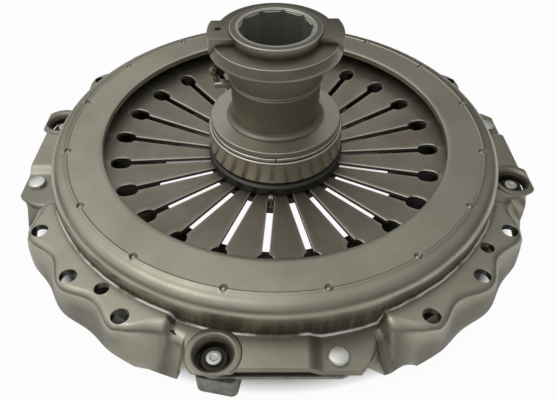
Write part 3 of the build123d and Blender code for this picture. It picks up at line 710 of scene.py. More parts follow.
NIPPLE_STEEL = metal(
    "nipple_steel", (0.24, 0.225, 0.17), (0.14, 0.13, 0.1), share=0.5, roughness=0.35,
)
LINER = metal(
    "bush_liner", (0.62, 0.62, 0.56), (0.5, 0.49, 0.43), share=0.5, roughness=0.3, grain=0.1,
    unevenness=0.1, edge_wear_and_highlight=0.0, metallic=0.85,
)
CAGE_NYLON = metal(
    "cage_nylon", (0.03, 0.03, 0.03), (0.04, 0.04, 0.035), share=0.3, roughness=0.55, grain=0.1,
    unevenness=0.1, edge_wear_and_highlight=0.0, shade_and_grime=0.0, metallic=0.0,
)


# Cover pressing


# Angles apart are counted from the middle of a bolt flange, and sides from the middle of a pad.
TOP_WAVE = (232.4, 4.4)
FOOT_WAVE = (237.9, 1.9)
TOP_APART = (15, 18, 20.1, 22.5, 24, 26, 30)
TOP_RADII = (236.8, 232.2, 228.4, 224.8, 224.2, 225.5, 230)
FOOT_APART = (15, 19.5, 22, 25.3, 30)
FOOT_EDGE = (239.8, 240.4, 238.0, 237.8, 238.0)
NOTCH = (19.4, 15.9, 14.4)
HOOK = (17.5, 15.0, 13.9, 13.3)
SCALLOP_HEIGHT = 5.0
SCALLOP_MIDDLE = 23.1
SCALLOP_HALF = 2.4


def skirt_radii(apart):
    """Radius of the wavy skirt at its top and at its foot, at an angle apart from its flange's middle."""
    if apart <= BOLT_STEP:
        wave = math.cos(2 * math.pi * apart / BOLT_STEP)
        return TOP_WAVE[0] + TOP_WAVE[1] * wave, FOOT_WAVE[0] + FOOT_WAVE[1] * wave
    return float(np.interp(apart, TOP_APART, TOP_RADII)), float(np.interp(apart, FOOT_APART, FOOT_EDGE))


def rivet_side(side, straight, top, foot, swell):
    """Beside a cover rivet: the scalloped end of the skirt, the relief notch and the straight pad."""
    start, bottom, end = NOTCH
    if side >= start:
        scallop = SCALLOP_HEIGHT * max(0.0, 1 - ((side - SCALLOP_MIDDLE) / SCALLOP_HALF) ** 2)
        return top, foot, swell, SKIRT_FOOT + scallop
    if side >= bottom:
        share = (start - side) / (start - bottom)
        top += (NOTCH_EDGE - top) * math.sqrt(share)
        rounding = swell * (1 - share) + SHEET_EDGE * share
        return top, 238.0 - 3.2 * share, rounding, SKIRT_FOOT + NOTCH_RISE * share
    edge = PAD_EDGE
    if side >= end:
        edge = NOTCH_FLOOR + (PAD_EDGE - NOTCH_FLOOR) * (bottom - side) / (bottom - end)
    return edge / straight, edge / straight, SHEET_EDGE, None


def socket_side(side, straight, top, foot, swell):
    """Beside a socket: the end of the skirt, the hooked arch cut into it and the straight pad."""
    start, crown, end, pad = HOOK
    if side >= start:
        return top, foot, swell, SKIRT_FOOT
    if side >= crown:
        share = (start - side) / (start - crown)
        arch = math.sqrt(1 - (1 - share) ** 2)
        edge = HOOK_EDGE / math.cos(math.radians(crown))
        top += (edge - top) * share
        rounding = swell * (1 - share) + SHEET_EDGE * share
        return top, foot + (edge - foot) * share, rounding, SKIRT_FOOT + HOOK_RISE * arch
    edge = PAD_EDGE
    if side >= end:
        edge = HOOK_EDGE
    elif side >= pad:
        edge = HOOK_EDGE + (PAD_EDGE - HOOK_EDGE) * (end - side) / (end - pad)
    return edge / straight, edge / straight, SHEET_EDGE, None


def cover_column(beta):
    """Top radius, foot radius, top rounding and lower edge of the sheet at beta from a pad's middle."""
    side = abs(beta)
    top, foot = skirt_radii(45 - side)
    straight = math.cos(math.radians(beta))
    swell = EDGE_ROUND + EDGE_SWELL * float(smooth_step(45 - side, 17, 21.5))
    beside = rivet_side if beta > 0 else socket_side
    return beside(side, straight, top, foot, swell)


RIVET_SIDE_NOSE = ((200, 212, 218, 240), (22.4, 22.2, 21.8, 21.6))
RIVET_SIDE_FOOT = ((200, 206, 212, 218, 224, 240), (23.4, 23.6, 24.2, 25.2, 26.0, 26.2))
SOCKET_SIDE_NOSE = ((200, 206, 212, 216, 222, 240), (22.6, 22.8, 23.0, 24.4, 25.3, 25.8))
SOCKET_SIDE_FOOT = ((200, 206, 210, 213, 216, 222, 240), (24.4, 24.4, 24.2, 25.2, 26.7, 27.8, 28.2))


def cover_height(r, beta):
    """Height of the sheet's upper face outside the wall, at radius r and angle beta from a pad's middle."""
    along = r * np.sin(np.radians(beta))
    pad = PAD_TOP - (PAD_TOP - LOW_PAD_TOP) * smooth_step(along, *PAD_STEP)
    apart = 45 - np.abs(beta)
    nose = np.interp(r, *(RIVET_SIDE_NOSE if beta > 0 else SOCKET_SIDE_NOSE))
    foot = np.interp(r, *(RIVET_SIDE_FOOT if beta > 0 else SOCKET_SIDE_FOOT))
    fall = np.clip((apart - nose) / (foot - nose), 0, 1)
    return pad + (FLANGE_TOP - pad) * (1 - fall**1.8)


def quarter_angles():
    """Column angles over one quarter, closer together where the outline turns quickly."""
    coarse = np.arange(-45, 45, 0.5)
    hook = np.arange(-18.2, -13.0, 0.15)
    notch = np.arange(13.8, 19.8, 0.2)
    ramp = np.arange(4.5, 9.6, 0.3)
    angles = np.unique(np.round(np.concatenate((coarse, hook, notch, ramp)), 3))
    keep = [angles[0]]
    for angle in angles[1:]:
        if angle - keep[-1] > 0.08:
            keep.append(angle)
    return keep


ARC = np.radians(np.linspace(0, 90, 10)[1:])


def crown_and_wall(wall_foot):
    """From the opening's lip over the crown and its raised bead, and down the wall to its fillet."""
    line = [(OPENING + 0.15, CROWN_TOP - 1.6), (OPENING + 0.45, CROWN_TOP - 0.6), (OPENING + 1.5, CROWN_TOP)]
    line += [(r, CROWN_TOP) for r in (164, 170, 176, 182, 186, 188.8)]
    bead = ((189.6, 0.0), (190.0, 0.35), (190.6, 0.6), (191.2, 0.6), (191.7, 0.35), (192.2, 0.0))
    line += [(r, CROWN_TOP + rise) for r, rise in bead]
    for turn in ARC:
        across, up = SHOULDER * math.sin(turn), SHOULDER * math.cos(turn)
        line.append((WALL - SHOULDER + across, CROWN_TOP - SHOULDER + up))
    line += [(WALL, z) for z in np.linspace(CROWN_TOP - SHOULDER, wall_foot + WALL_FILLET, 4)[1:]]
    for turn in np.radians((22.5, 45, 67.5, 90)):
        out, down = 1 - math.cos(turn), 1 - math.sin(turn)
        line.append((WALL + WALL_FILLET * out, wall_foot + WALL_FILLET * down))
    return line


def skirt_outside(edge, low_edge, rounding, shelf, foot):
    """Round the flange's edge and down the leaning skirt to its foot."""
    lean = 90.0
    for _ in range(4):
        out = edge - rounding + rounding * math.sin(math.radians(lean))
        down = shelf - rounding + rounding * math.cos(math.radians(lean))
        lean = math.degrees(math.atan2(down - foot - 0.5, max(low_edge - out, 0.0)))
    line = []
    for turn in ARC * lean / 90:
        out, up = rounding * math.sin(turn), rounding * math.cos(turn)
        line.append((edge - rounding + out, shelf - rounding + up))
    start_r, start_z = line[-1]
    for share in np.linspace(0, 1, 6)[1:]:
        line.append((start_r + (low_edge - start_r) * share, start_z + (foot + 0.5 - start_z) * share))
    return line + [(low_edge - 0.5, foot), (low_edge - SHEET + 0.5, foot)]


def skirt_inside(inner, low_edge, under, foot):
    """Up the inside of the skirt."""
    low_inner = low_edge - SHEET
    line = []
    for share in np.linspace(0, 1, 4):
        line.append((low_inner + (inner - low_inner) * share, foot + 0.5 + (under - 1.1 - foot) * share))
    return line + [(inner - 0.6, under)]


def crown_inside(wall_foot):
    """Up the inside of the wall and under the crown to the opening."""
    line = [(WALL - SHEET + 1.5, wall_foot - SHEET)]
    line += [(WALL - SHEET, z) for z in (wall_foot - SHEET + 2, CROWN_TOP - SHOULDER)]
    for turn in np.radians((30, 60, 90)):
        across, up = (SHOULDER - SHEET) * math.cos(turn), (SHOULDER - SHEET) * math.sin(turn)
        line.append((WALL - SHOULDER + across, CROWN_TOP - SHOULDER + up))
    line += [(r, CROWN_TOP - SHEET) for r in (185, 175, OPENING + 1)]
    return line + [(OPENING, CROWN_TOP - SHEET + 1)]


def cover_loop(beta):
    """Closed outline (r, z) of the sheet in the plane at beta: upper face outwards, under face back."""
    edge, low_edge, rounding, foot = cover_column(beta)
    wall_foot = float(cover_height(WALL + WALL_FILLET, beta))
    loop = crown_and_wall(wall_foot)
    for r in np.linspace(WALL + WALL_FILLET, edge - rounding, 13)[1:]:
        loop.append((r, float(cover_height(r, beta))))
    shelf = loop[-1][1]
    under = shelf - SHEET
    foot = under if foot is None else min(foot, under)
    inner = edge - SHEET
    loop += skirt_outside(edge, low_edge, rounding, shelf, foot)
    loop += skirt_inside(inner, low_edge, under, foot)
    for r in np.linspace(inner - 1.5, WALL, 7):
        loop.append((r, float(cover_height(r, beta)) - SHEET))
    return loop + crown_inside(wall_foot)


def cover_cutters():
    """Cutters for the bolt and dowel holes, the sockets and the dimples of the crown."""
    tools = []
    for quarter in range(QUARTERS):
        middle = 90 * quarter + 45
        for turn in (-BOLT_STEP, 0, BOLT_STEP):
            tools.append(hole_tool(place(BOLT_CIRCLE, middle + turn), BOLT_HOLE, FLANGE_TOP))
        tools.append(hole_tool(place(DOWEL_CIRCLE, middle + BOLT_STEP / 2), DOWEL_HOLE, FLANGE_TOP))
        tools.append(hole_tool(place(RIVET_CIRCLE, 90 * quarter - RIVET_ANGLE), SOCKET_HOLE, PAD_TOP))
    bowl = ((0, -0.5), (0.7, -0.55), (1.3, -1.0), (2.0, -1.3), (2.8, -0.9), (3.3, 0.0), (3.4, 0.9), (0, 0.9))
    for step in range(DIMPLES):
        spot = place(DIMPLE_CIRCLE, 360 / DIMPLES * (step + 0.5))
        tools.append(lathe("bowl", [(r, CROWN_TOP + z) for r, z in bowl], PRESSED_STEEL, 20, spot))
    return tools


def make_cover():
    """The drawn sheet: one loop of points for each angle of a quarter, four times round, then the holes."""
    betas = quarter_angles()
    loops = [cover_loop(beta) for beta in betas]
    points = []
    for quarter in range(QUARTERS):
        for beta, loop in zip(betas, loops):
            turn = math.radians(beta + 90 * quarter)
            sin, cos = math.sin(turn), math.cos(turn)
            points += [(r * sin, -r * cos, z) for r, z in loop]
    faces = loop_faces(QUARTERS * len(betas), len(loops[0]))
    cover = make_mesh("cover_pressing", points, faces, PRESSED_STEEL, COVER_CREASE)
    combine(cover, join(cover_cutters(), "holes"), "DIFFERENCE", "MANIFOLD", COVER_CREASE)
    return cover


def hole_tool(spot, radius, top):
    """A straight cutter with a small flare, so that the hole gets a broken edge."""
    outline = [
        (0, top - 12), (radius, top - 12), (radius, top - 0.5), (radius + 0.7, top + 0.2),
        (radius + 0.7, top + 6), (0, top + 6),
    ]
    return lathe("cutter", outline, PRESSED_STEEL, 40, spot)


def make_sockets():
    """The drawn collars over the plate rivets, cut flat a little in front of the pad's edge."""
    outline = rounded(
        (
            (15.2, 38.3, 2.4), (20.0, 38.2, 2.0), (20.6, 36.0, 0.3), (16.4, 34.6, 1.5),
            (13.8, 30.5, 1.0), (13.4, 27.6, 2.0), (11.6, 27.2, 0.6), (11.9, 33.0, 2.0),
            (13.2, 36.0, 1.0),
        ),
        5,
    )
    half, beyond = 26, 246
    collars = []
    for quarter in range(QUARTERS):
        spot = place(RIVET_CIRCLE, 90 * quarter - RIVET_ANGLE)
        collar = lathe("collar", outline, SHADED_SOCKET_STEEL, 72, spot)
        corners = ((-half, -beyond), (half, -beyond), (half, -SOCKET_CUT), (-half, -SOCKET_CUT))
        trim = block("trim", corners, 25, 42, SHADED_SOCKET_STEEL, 0)
        middle = place(RIVET_CIRCLE, -RIVET_ANGLE)
        trim.data.transform(Matrix.Translation((middle[0] * MM, 0, 0)))
        trim.data.transform(Matrix.Rotation(math.radians(90 * quarter), 4, "Z"))
        collars.append(combine(collar, trim, "DIFFERENCE"))
    sockets = join(collars, "cover_sockets")
    finish_mesh(sockets, SHADED_SOCKET_STEEL)
    return sockets


# Spring, straps and rivets


def spring_top(r):
    """Height of the dished spring's upper face, which is steeper outside the keyholes."""
    outside = max(0.0, r - RING_START)
    return SPRING_LEVEL + (r - LEVEL_CIRCLE) * FINGER_SLOPE + outside * (RING_SLOPE - FINGER_SLOPE)


def slot_half_width(r):
    """Half the gap between two fingers: a parallel slot that opens into a rounded keyhole."""
    if r >= RING_START:
        return 0.0
    if r > KEYHOLE_END:
        return math.sqrt(KEYHOLE**2 - (r - KEYHOLE_END) ** 2)
    if r > KEYHOLE_START:
        return KEYHOLE
    if r > KEYHOLE_START - KEYHOLE:
        return max(SLOT_HALF, math.sqrt(KEYHOLE**2 - (KEYHOLE_START - r) ** 2))
    return SLOT_HALF


def make_finger(index):
    """One finger with its share of the outer ring, as a closed piece."""
    middle = FIRST_SLOT + FINGER_PITCH * (index + 0.5)
    keyhole_end = [KEYHOLE_END + KEYHOLE * math.sin(t) for t in np.linspace(0, math.pi / 2, 9)]
    keyhole_start = [KEYHOLE_START - KEYHOLE * math.cos(t) for t in np.linspace(0.38, math.pi / 2, 8)]
    radii = list(np.linspace(FINGER_TIP, KEYHOLE_START - KEYHOLE - 0.1, 16))
    radii += keyhole_start + keyhole_end + [160, 168, 178, SPRING_REACH]
    radii = sorted(set(round(r, 3) for r in radii))
    across = (-1, -0.66, -0.33, 0, 0.33, 0.66, 1)
    points = []
    for r in radii:
        gap = slot_half_width(r)
        half = math.radians(FINGER_PITCH / 2) * r - gap
        edge = 0.75 if gap > 0.3 else 0.05
        top, foot = spring_top(r), spring_top(r) - SPRING_SHEET
        ring = [(share * (half - edge), top) for share in across]
        ring += [(half, top - edge), (half, foot + edge)]
        ring += [(-share * (half - edge), foot) for share in across]
        ring += [(-half, foot + edge), (-half, top - edge)]
        for offset, z in ring:
            turn = math.radians(middle) + offset / r
            points.append((r * math.sin(turn), -r * math.cos(turn), z))
    size = len(points) // len(radii)
    faces = bar_faces(len(radii), size)
    finger = make_mesh(f"spring_finger_{index:02d}", points, faces, SPRING_STEEL, 30)
    finger.data.materials.append(SPRING_EDGE_HIGHLIGHT)
    # The rounded edges along slots and keyholes take the painted highlight.
    across_edge = (6, 8, 15, 17)
    marks = [0, 0] + [int(item in across_edge) for _ in range(len(radii) - 1) for item in range(size)]
    finger.data.polygons.foreach_set("material_index", marks)
    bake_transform(finger)
    return finger


def make_strap(quarter, level):
    """One leaf: a flat strip with round ends between its two rivets."""
    chord = RIVET_CIRCLE * math.cos(math.radians(RIVET_ANGLE))
    offset = RIVET_CIRCLE * math.sin(math.radians(RIVET_ANGLE))
    foot = STRAP_TOP - (level + 1) * LEAF
    top, edge = foot + LEAF, LEAF_EDGE
    stations = [-offset - LEAF_HALF * math.cos(t) for t in np.linspace(0.12, math.pi / 2, 7)]
    stations += list(np.linspace(-offset, offset, 17)[1:-1])
    stations += [offset + LEAF_HALF * math.sin(t) for t in np.linspace(0, math.pi / 2 - 0.12, 7)]
    points = []
    for s in stations:
        past = max(abs(s) - offset, 0)
        width = math.sqrt(max(LEAF_HALF**2 - past**2, 0.5))
        right = [(width - edge, top), (width, top - edge), (width, foot + edge), (width - edge, foot)]
        left = [(-across, z) for across, z in reversed(right)]
        points += [(s, -(chord + across), z) for across, z in left[-1:] + right + left[:-1]]
    turn = Matrix.Rotation(math.radians(90 * quarter), 3, "Z")
    points = [tuple(turn @ Vector(p)) for p in points]
    node = f"strap_leaf_{PAD_NAMES[quarter]}_{LEAF_NAMES[level]}"
    faces = bar_faces(len(stations), len(points) // len(stations))
    strap = make_mesh(f"strap_{PAD_NAMES[quarter]}_{LEAF_NAMES[level]}", points, faces, STRAP_STEEL)
    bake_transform(strap)
    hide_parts(node)


def make_cover_rivets():
    """The four bright rivets that hold the straps' one end to the cover."""
    upper = ((0, 36.0, 0), (7.8, 35.2, 1.9), (7.8, 32.0, 0), (5, 32, 0))
    lower = ((5, 22.4, 0), (8, 22.4, 0.2), (7, 19.4, 0.6), (0, 19.4, 0))
    outline = rounded(upper + lower)
    rivets = [
        lathe("rivet", outline, RIVET_STEEL, 48, place(RIVET_CIRCLE, 90 * quarter + RIVET_ANGLE))
        for quarter in range(QUARTERS)
    ]
    whole = join(rivets, "strap_rivets_on_cover")
    finish_mesh(whole, RIVET_STEEL, 50)
    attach(whole, "cover_body")
    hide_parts("cover_rivets")


def make_plate_rivets():
    """The four rivets in the sockets, which hold the straps' other end to the pressure plate."""
    upper = ((0, 31.4, 0), (2.2, 31.4, 0.8), (3.0, 31.8, 0.6), (5.9, 31.6, 1.0))
    lower = ((5.9, 29.2, 0.2), (5, 29.2, 0), (5, 6.5, 0), (8, 6.5, 0.3), (8, 3, 0.6), (0, 3, 0))
    outline = rounded(upper + lower)
    rivets = [
        lathe("rivet", outline, SHADED_RIVET, 48, place(RIVET_CIRCLE, 90 * quarter - RIVET_ANGLE))
        for quarter in range(QUARTERS)
    ]
    whole = join(rivets, "strap_rivets_on_plate")
    finish_mesh(whole, SHADED_RIVET, 50)
    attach(whole, "plate_body")
    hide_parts("plate_rivets")


# Release bearing


def turned_neck():
    """The neck with its dust shield, before the flange is joined to it."""
    neck = lathe(
        "bearing_sleeve_turned",
        rounded(
            (
                (BUSH_SEAT, NECK_FOOT, 0.5), (NECK, NECK_FOOT, 0.5), (NECK, 72.2, 0), (45.6, 72.2, 0),
                (45.6, 76.2, 0), (59.5, 76.2, 0.8), (59.5, 81.5, 1.0), (NECK, 81.5, 5.5),
                (NECK, 119.5, 2.0), (41, 123, 2.0), (41, 150, 0.3), (BUSH_SEAT, 150, 0.3),
            ),
            6,
        ),
        SLEEVE_STEEL,
        160,
        edge_material=EDGE_HIGHLIGHT,
    )
    neck.data.materials.append(SHIELD_STEEL)
    for face in neck.data.polygons:
        centre = face.center / MM
        if 75 < centre.z < 82 and math.hypot(centre.x, centre.y) > 46.5:
            face.material_index = 2
    return neck


def sleeve_arc(radius, angles):
    """Points on a circle of the sleeve, whose ears stand turned by a small angle."""
    turns = np.radians(angles) + math.radians(SLEEVE_TURN)
    return [(radius * math.cos(turn), radius * math.sin(turn)) for turn in turns]


def make_sleeve():
    """Neck, dust shield and forked top flange of the sleeve."""
    neck = turned_neck()
    chord = math.degrees(math.asin(EAR_FRONT / EAR_REACH))
    raised = sleeve_arc(EAR_REACH, np.linspace(-chord, 18.5, 8))
    raised += sleeve_arc(49, np.linspace(21.5, 158.5, 46))
    raised += sleeve_arc(EAR_REACH, np.linspace(161.5, 180 + chord, 8))
    flange = (
        (BUSH_SEAT, FORK_FACE, 0), (56.3, FORK_FACE, 1.6), (56.2, 150.5, 9.0),
        (52.9, FLANGE_RIM, 0.45), (BUSH_SEAT, FLANGE_RIM, 0),
    )
    boss = ((BUSH_SEAT, 156, 0), (38.4, 156, 0), (38.4, BOSS_TOP, 0.6), (BUSH_SEAT, BOSS_TOP, 0.6))
    parts = [
        lathe("flange", rounded(flange, 4), SLEEVE_STEEL, 160, edge_material=EDGE_HIGHLIGHT),
        block("ears", raised, 150, EAR_TOP, SLEEVE_STEEL, 0.45, EDGE_HIGHLIGHT),
        lathe("boss", rounded(boss, 4), SLEEVE_STEEL, 120, edge_material=EDGE_HIGHLIGHT),
    ]
    for part in parts:
        combine(neck, part, "UNION")
    seat = BUSH_SEAT + 0.02
    bore = lathe("bore", [(0, 60), (seat, 60), (seat, 170), (0, 170)], SLEEVE_STEEL, 120)
    combine(neck, bore, "DIFFERENCE")
    spot = sleeve_arc(47.6, [176.2])[0]
    keeper = [(0, 157), (2.6, 157), (2.6, 163.2), (3.2, 164.5), (0, 164.5)]
    combine(neck, lathe("keeper", keeper, SLEEVE_STEEL, 28, spot), "DIFFERENCE")
    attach(neck, "sleeve_body")
    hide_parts("bearing_sleeve")


def make_housing():
    """The turned housing with the hub that goes down through the fingers."""
    bore, hub, inside, rim = 44, 48.5, 58, 62.4
    foot, shelf, top = 18, 53.5, 72.4
    housing = lathe(
        "bearing_housing_turned",
        rounded(
            (
                (bore, foot, 0.5), (hub, foot, 1.0), (hub, HOUSING_FLOOR, 0.3), (rim, HOUSING_FLOOR, 1.0),
                (rim, top, 1.6), (inside, top, 0.6), (inside, shelf, 0.3), (bore, shelf, 0.5),
            ),
            5,
        ),
        HOUSING_STEEL,
        200,
    )
    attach(housing, "housing_body")
    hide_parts("bearing_housing")


def make_seat_ring():
    """The dark ring between the housing and the fingers."""
    inner, outer, gap = 48.6, 64, 0.3
    foot = spring_top(outer) + gap
    ring = lathe(
        "seat_ring_turned",
        rounded(
            (
                (inner, spring_top(inner) + gap, 0),
                (outer, foot, 1.2), (outer, 44.5, 1.0), (61.2, 46.0, 1.0), (61.2, HOUSING_FLOOR, 0.3),
                (inner, HOUSING_FLOOR, 0),
            ),
            4,
        ),
        SEAT_RING_STEEL,
        160,
    )
    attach(ring, "housing_body")
    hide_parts("seat_ring")


def make_wire_ring():
    """The open wire ring on the housing's rim, with a small wave at its front gap."""
    points = []
    steps, sides = 260, 10
    radius, level, wire, gap = 58.7, 74.1, 1.6, 0.5
    for step in range(steps + 1):
        angle = gap + (360 - 2 * gap) * step / steps
        rise = 0.35 * math.exp(-(((angle - 9) / 4) ** 2)) - 0.35 * math.exp(-(((angle - 351) / 4) ** 2))
        for item in range(sides):
            around = 2 * math.pi * item / sides
            x, y = place(radius + wire * math.cos(around), angle)
            points.append((x, y, level + rise + wire * math.sin(around)))
    faces = bar_faces(steps + 1, sides)
    ring = make_mesh("wire_ring_bent", points, faces, BRIGHT_WIRE, 50)
    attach(ring, "housing_body")
    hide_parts("wire_ring")


def make_upper_bush():
    """The faceted guide bush in the sleeve's mouth."""
    steps, foot, top, outside = 120, 120.0, 166.5, 32.95
    angles = [math.radians(360 / steps * step) for step in range(steps)]
    outer = [(outside * math.cos(angle), outside * math.sin(angle)) for angle in angles]
    inner = []
    for angle in angles:
        facet = (math.degrees(angle) - 6) % (360 / FACETS) - 180 / FACETS
        reach = min(29.4 / math.cos(math.radians(facet)), 30.9)
        inner.append((reach * math.cos(angle), reach * math.sin(angle)))
    points = []
    for z, mouth in ((foot, 0.0), (164.8, 0.0), (165.1, 30.4), (166.1, 30.5), (top, 30.9)):
        for x, y in inner:
            r = math.hypot(x, y)
            points.append((x * max(mouth, r) / r, y * max(mouth, r) / r, z))
    for z in (top, foot):
        points += [(x, y, z) for x, y in outer]
    bush = make_mesh("guide_bush_faceted", points, loop_faces(7, steps), LINER, 12)
    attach(bush, "sleeve_body")
    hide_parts("guide_bush_upper")


def make_nipple():
    """The grease nipple: a hexagon on the neck, an elbow, and a ball-ended stem."""
    lean, elbow = -17, (-50.5, 0, 111)
    across, length, seat = 4.4, 14.7, (-38.8, 0, 112)
    shank = ((0, 0, 0), (2.7, 0, 0.2), (2.7, 9, 0.5), (1.9, 10, 0.3), (1.9, 11.4, 0.3))
    ball = ((3.1, 13, 0.6), (3.1, 15, 0.8), (2.0, 17.4, 0.5), (0, 17.6, 0))
    stem = lathe("stem", rounded(shank + ball, 3), NIPPLE_STEEL, 32)
    stem.data.transform(Matrix.Rotation(math.radians(lean), 4, "Y"))
    stem.data.transform(Matrix.Translation(Vector(elbow) * MM))
    corners = [math.radians(60 * k) for k in range(6)]
    flats = [(across * math.cos(corner), across * math.sin(corner)) for corner in corners]
    hexagon = block("hexagon", flats, 0, length, NIPPLE_STEEL, 0.4)
    hexagon.data.transform(Matrix.Rotation(math.radians(-90), 4, "Y"))
    hexagon.data.transform(Matrix.Translation(Vector(seat) * MM))
    nipple = join([stem, hexagon], "grease_nipple_fitted")
    finish_mesh(nipple, NIPPLE_STEEL)
    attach(nipple, "sleeve_body")
    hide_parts("grease_nipple")


# The object

cover = make_cover()
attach(cover, "cover_body")
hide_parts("cover")
sockets = make_sockets()
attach(sockets, "cover_body")

fingers = [make_finger(index) for index in range(FINGERS)]
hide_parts("diaphragm_spring")

for quarter in range(QUARTERS):
    for level in range(3):
        make_strap(quarter, level)
make_cover_rivets()
make_plate_rivets()
make_sleeve()
make_housing()
make_seat_ring()
make_wire_ring()
make_upper_bush()
make_nipple()

CARRIED = {
    "fulcrum_ring": FULCRUM_STEEL,
    "pressure_plate": PLATE_IRON,
    "rivet_bushes": SHADOWED_BUSH_STEEL,
    "outer_race": BALL_STEEL,
    "inner_race": BALL_STEEL,
    "bearing_balls": BALL_STEEL,
    "race_shields": STRAP_STEEL,
    "thrust_ring": STRAP_STEEL,
    "keeper_ring": STRAP_STEEL,
    "locating_pin": RIVET_STEEL,
    "guide_bush_lower": LINER,
    "ball_cage": CAGE_NYLON,
}
for node_name, finish in CARRIED.items():
    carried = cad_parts[node_name]
    carried.data.materials.clear()
    carried.data.materials.append(finish)
    carried.data.shade_smooth()
    carried.data.set_sharp_from_angle(angle=math.radians(30))

# Floor, light and camera

TENT_RADIUS = 3.2


def floor_material():
    """White floor. Seen directly or in the metal it shows plain white, except in the object's shadow."""
    material = bpy.data.materials.new("floor_white")
    material.use_nodes = True
    tree = material.node_tree
    tree.nodes.clear()
    leave = add_node(tree, "ShaderNodeOutputMaterial")
    matt = add_node(tree, "ShaderNodeBsdfDiffuse", in_Color=(0.8, 0.8, 0.8, 1))
    glow = add_node(tree, "ShaderNodeEmission", in_Color=(1, 1, 1, 1), in_Strength=1.0)
    path = add_node(tree, "ShaderNodeLightPath")
    spot = add_node(tree, "ShaderNodeTexCoord")
    length = add_node(tree, "ShaderNodeVectorMath", operation="LENGTH")
    tree.links.new(spot.outputs["Object"], length.inputs[0])
    away = length.outputs["Value"]
    inside = mapped(tree, away, 0.128, 0.116)
    parts = add_node(tree, "ShaderNodeSeparateXYZ")
    tree.links.new(spot.outputs["Object"], parts.inputs[0])
    inside = product(tree, inside, mapped(tree, parts.outputs["Y"], 0.03, 0.008))
    direct = math_node(tree, "MAXIMUM", inside, mapped(tree, away, 0.218, 0.233))
    direct = product(tree, direct, path.outputs["Is Camera Ray"], 0.96)
    mirrored = math_node(tree, "MAXIMUM", path.outputs["Is Glossy Ray"], path.outputs["Is Transmission Ray"])
    mirrored = product(tree, mirrored, mapped(tree, away, 0.2, 0.42, 0.0, 0.85))
    share = math_node(tree, "MAXIMUM", direct, mirrored)
    blend = add_node(tree, "ShaderNodeMixShader")
    tree.links.new(share, blend.inputs[0])
    tree.links.new(matt.outputs[0], blend.inputs[1])
    tree.links.new(glow.outputs[0], blend.inputs[2])
    tree.links.new(blend.outputs[0], leave.inputs["Surface"])
    return material


def make_floor():
    """A wide flat floor just under the friction face."""
    size, level = 4.0, -0.0005
    corners = ((-size, -size), (size, -size), (size, size), (-size, size))
    mesh = bpy.data.meshes.new("studio_floor")
    mesh.from_pydata([(x, y, level) for x, y in corners], [], [(0, 1, 2, 3)])
    floor = linked("studio_floor", mesh)
    mesh.materials.append(floor_material())


def tent_cloth():
    """Glowing cloth: brightest overhead, dim near the horizon, stronger on the left, in soft panels."""
    material = bpy.data.materials.new("tent_cloth")
    material.use_nodes = True
    tree = material.node_tree
    tree.nodes.clear()
    leave = add_node(tree, "ShaderNodeOutputMaterial")
    glow = add_node(tree, "ShaderNodeEmission")
    spot = add_node(tree, "ShaderNodeTexCoord").outputs["Object"]
    axes = add_node(tree, "ShaderNodeSeparateXYZ")
    ramp = add_node(tree, "ShaderNodeValToRGB")
    tree.links.new(spot, axes.inputs[0])
    tree.links.new(mapped(tree, axes.outputs["Z"], 0.0, TENT_RADIUS), ramp.inputs["Fac"])
    ramp.color_ramp.elements[0].color = (0.06, 0.06, 0.06, 1)
    ramp.color_ramp.elements[1].color = (0.8, 0.8, 0.8, 1)
    for position, value in ((0.25, 0.15), (0.5, 0.42), (0.82, 0.62), (0.95, 0.78)):
        stop = ramp.color_ramp.elements.new(position)
        stop.color = (value, value, value, 1)
    side = mapped(tree, axes.outputs["X"], -1.6, 1.6, 1.4, 0.6)
    upright = squeezed(tree, spot, (1.0, 1.0, 0.25))
    panels = mapped(tree, noise(tree, upright, 0.85, 1.0, 0.4), 0.36, 0.64, 0.35, 1.75)
    low = mapped(tree, axes.outputs["Z"], 2.3, 0.9)
    bands = math_node(tree, "MULTIPLY_ADD", math_node(tree, "SUBTRACT", panels, 1.0), low, 1.0)
    tree.links.new(ramp.outputs["Color"], glow.inputs["Color"])
    tree.links.new(product(tree, side, bands), glow.inputs["Strength"])
    tree.links.new(glow.outputs[0], leave.inputs["Surface"])
    return material


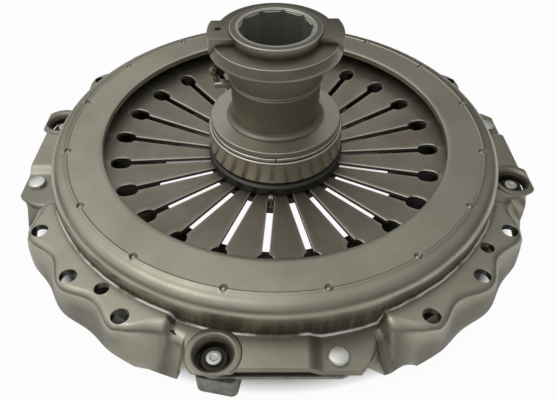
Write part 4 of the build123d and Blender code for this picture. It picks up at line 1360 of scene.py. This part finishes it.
def make_light_tent():
    """A dome whose inside glows softly and which the camera doesn't see directly."""
    shaper = bmesh.new()
    bmesh.ops.create_uvsphere(shaper, u_segments=48, v_segments=32, radius=TENT_RADIUS)
    low = [v for v in shaper.verts if v.co.z < -0.4]
    bmesh.ops.delete(shaper, geom=low, context="VERTS")
    tent = linked("light_tent", poured(shaper, "light_tent"))
    tent.data.materials.append(tent_cloth())
    tent.visible_camera = False
    tent.visible_shadow = False


def make_soft_box(name, spot, aim, size, power):
    """A rectangular lamp at a spot, turned towards its aim."""
    lamp = bpy.data.lights.new(name, "AREA")
    lamp.shape = "RECTANGLE"
    lamp.size, lamp.size_y = size
    lamp.energy = power
    holder = linked(name, lamp)
    holder.location = spot
    holder.rotation_euler = (Vector(aim) - Vector(spot)).to_track_quat("-Z", "Y").to_euler()


def make_world():
    """Plain white all round, behind the floor."""
    world = bpy.data.worlds.new("studio_white")
    bpy.context.scene.world = world
    world.use_nodes = True
    back = world.node_tree.nodes["Background"]
    back.inputs["Color"].default_value = (1, 1, 1, 1)
    back.inputs["Strength"].default_value = 1.0


def make_camera():
    """The camera of the photograph, close in front of the clutch and looking down at it."""
    lens = bpy.data.cameras.new("photo_camera")
    lens.sensor_fit = "HORIZONTAL"
    lens.sensor_width = 36.0
    lens.lens = FOCAL_PIXELS / PHOTO_WIDTH * lens.sensor_width
    camera = linked("photo_camera", lens)
    pitch, roll, turn = math.radians(45.1), math.radians(0.55), math.radians(-0.74)
    look = Matrix.Rotation(math.pi / 2 - pitch, 4, "X")
    stand = Matrix.Translation((0.003, -0.410, 0.378))
    orbit = Matrix.Rotation(turn, 4, "Z")
    camera.matrix_world = orbit @ stand @ look @ Matrix.Rotation(roll, 4, "Z")
    lens.clip_start = 0.01
    bpy.context.scene.camera = camera


make_floor()
make_light_tent()
make_world()
make_soft_box("key_box", (-0.7, -0.2, 1.5), (0, 0, 0), (0.7, 0.5), 1.5)
make_camera()
bpy.context.scene.view_settings.view_transform = "Standard"
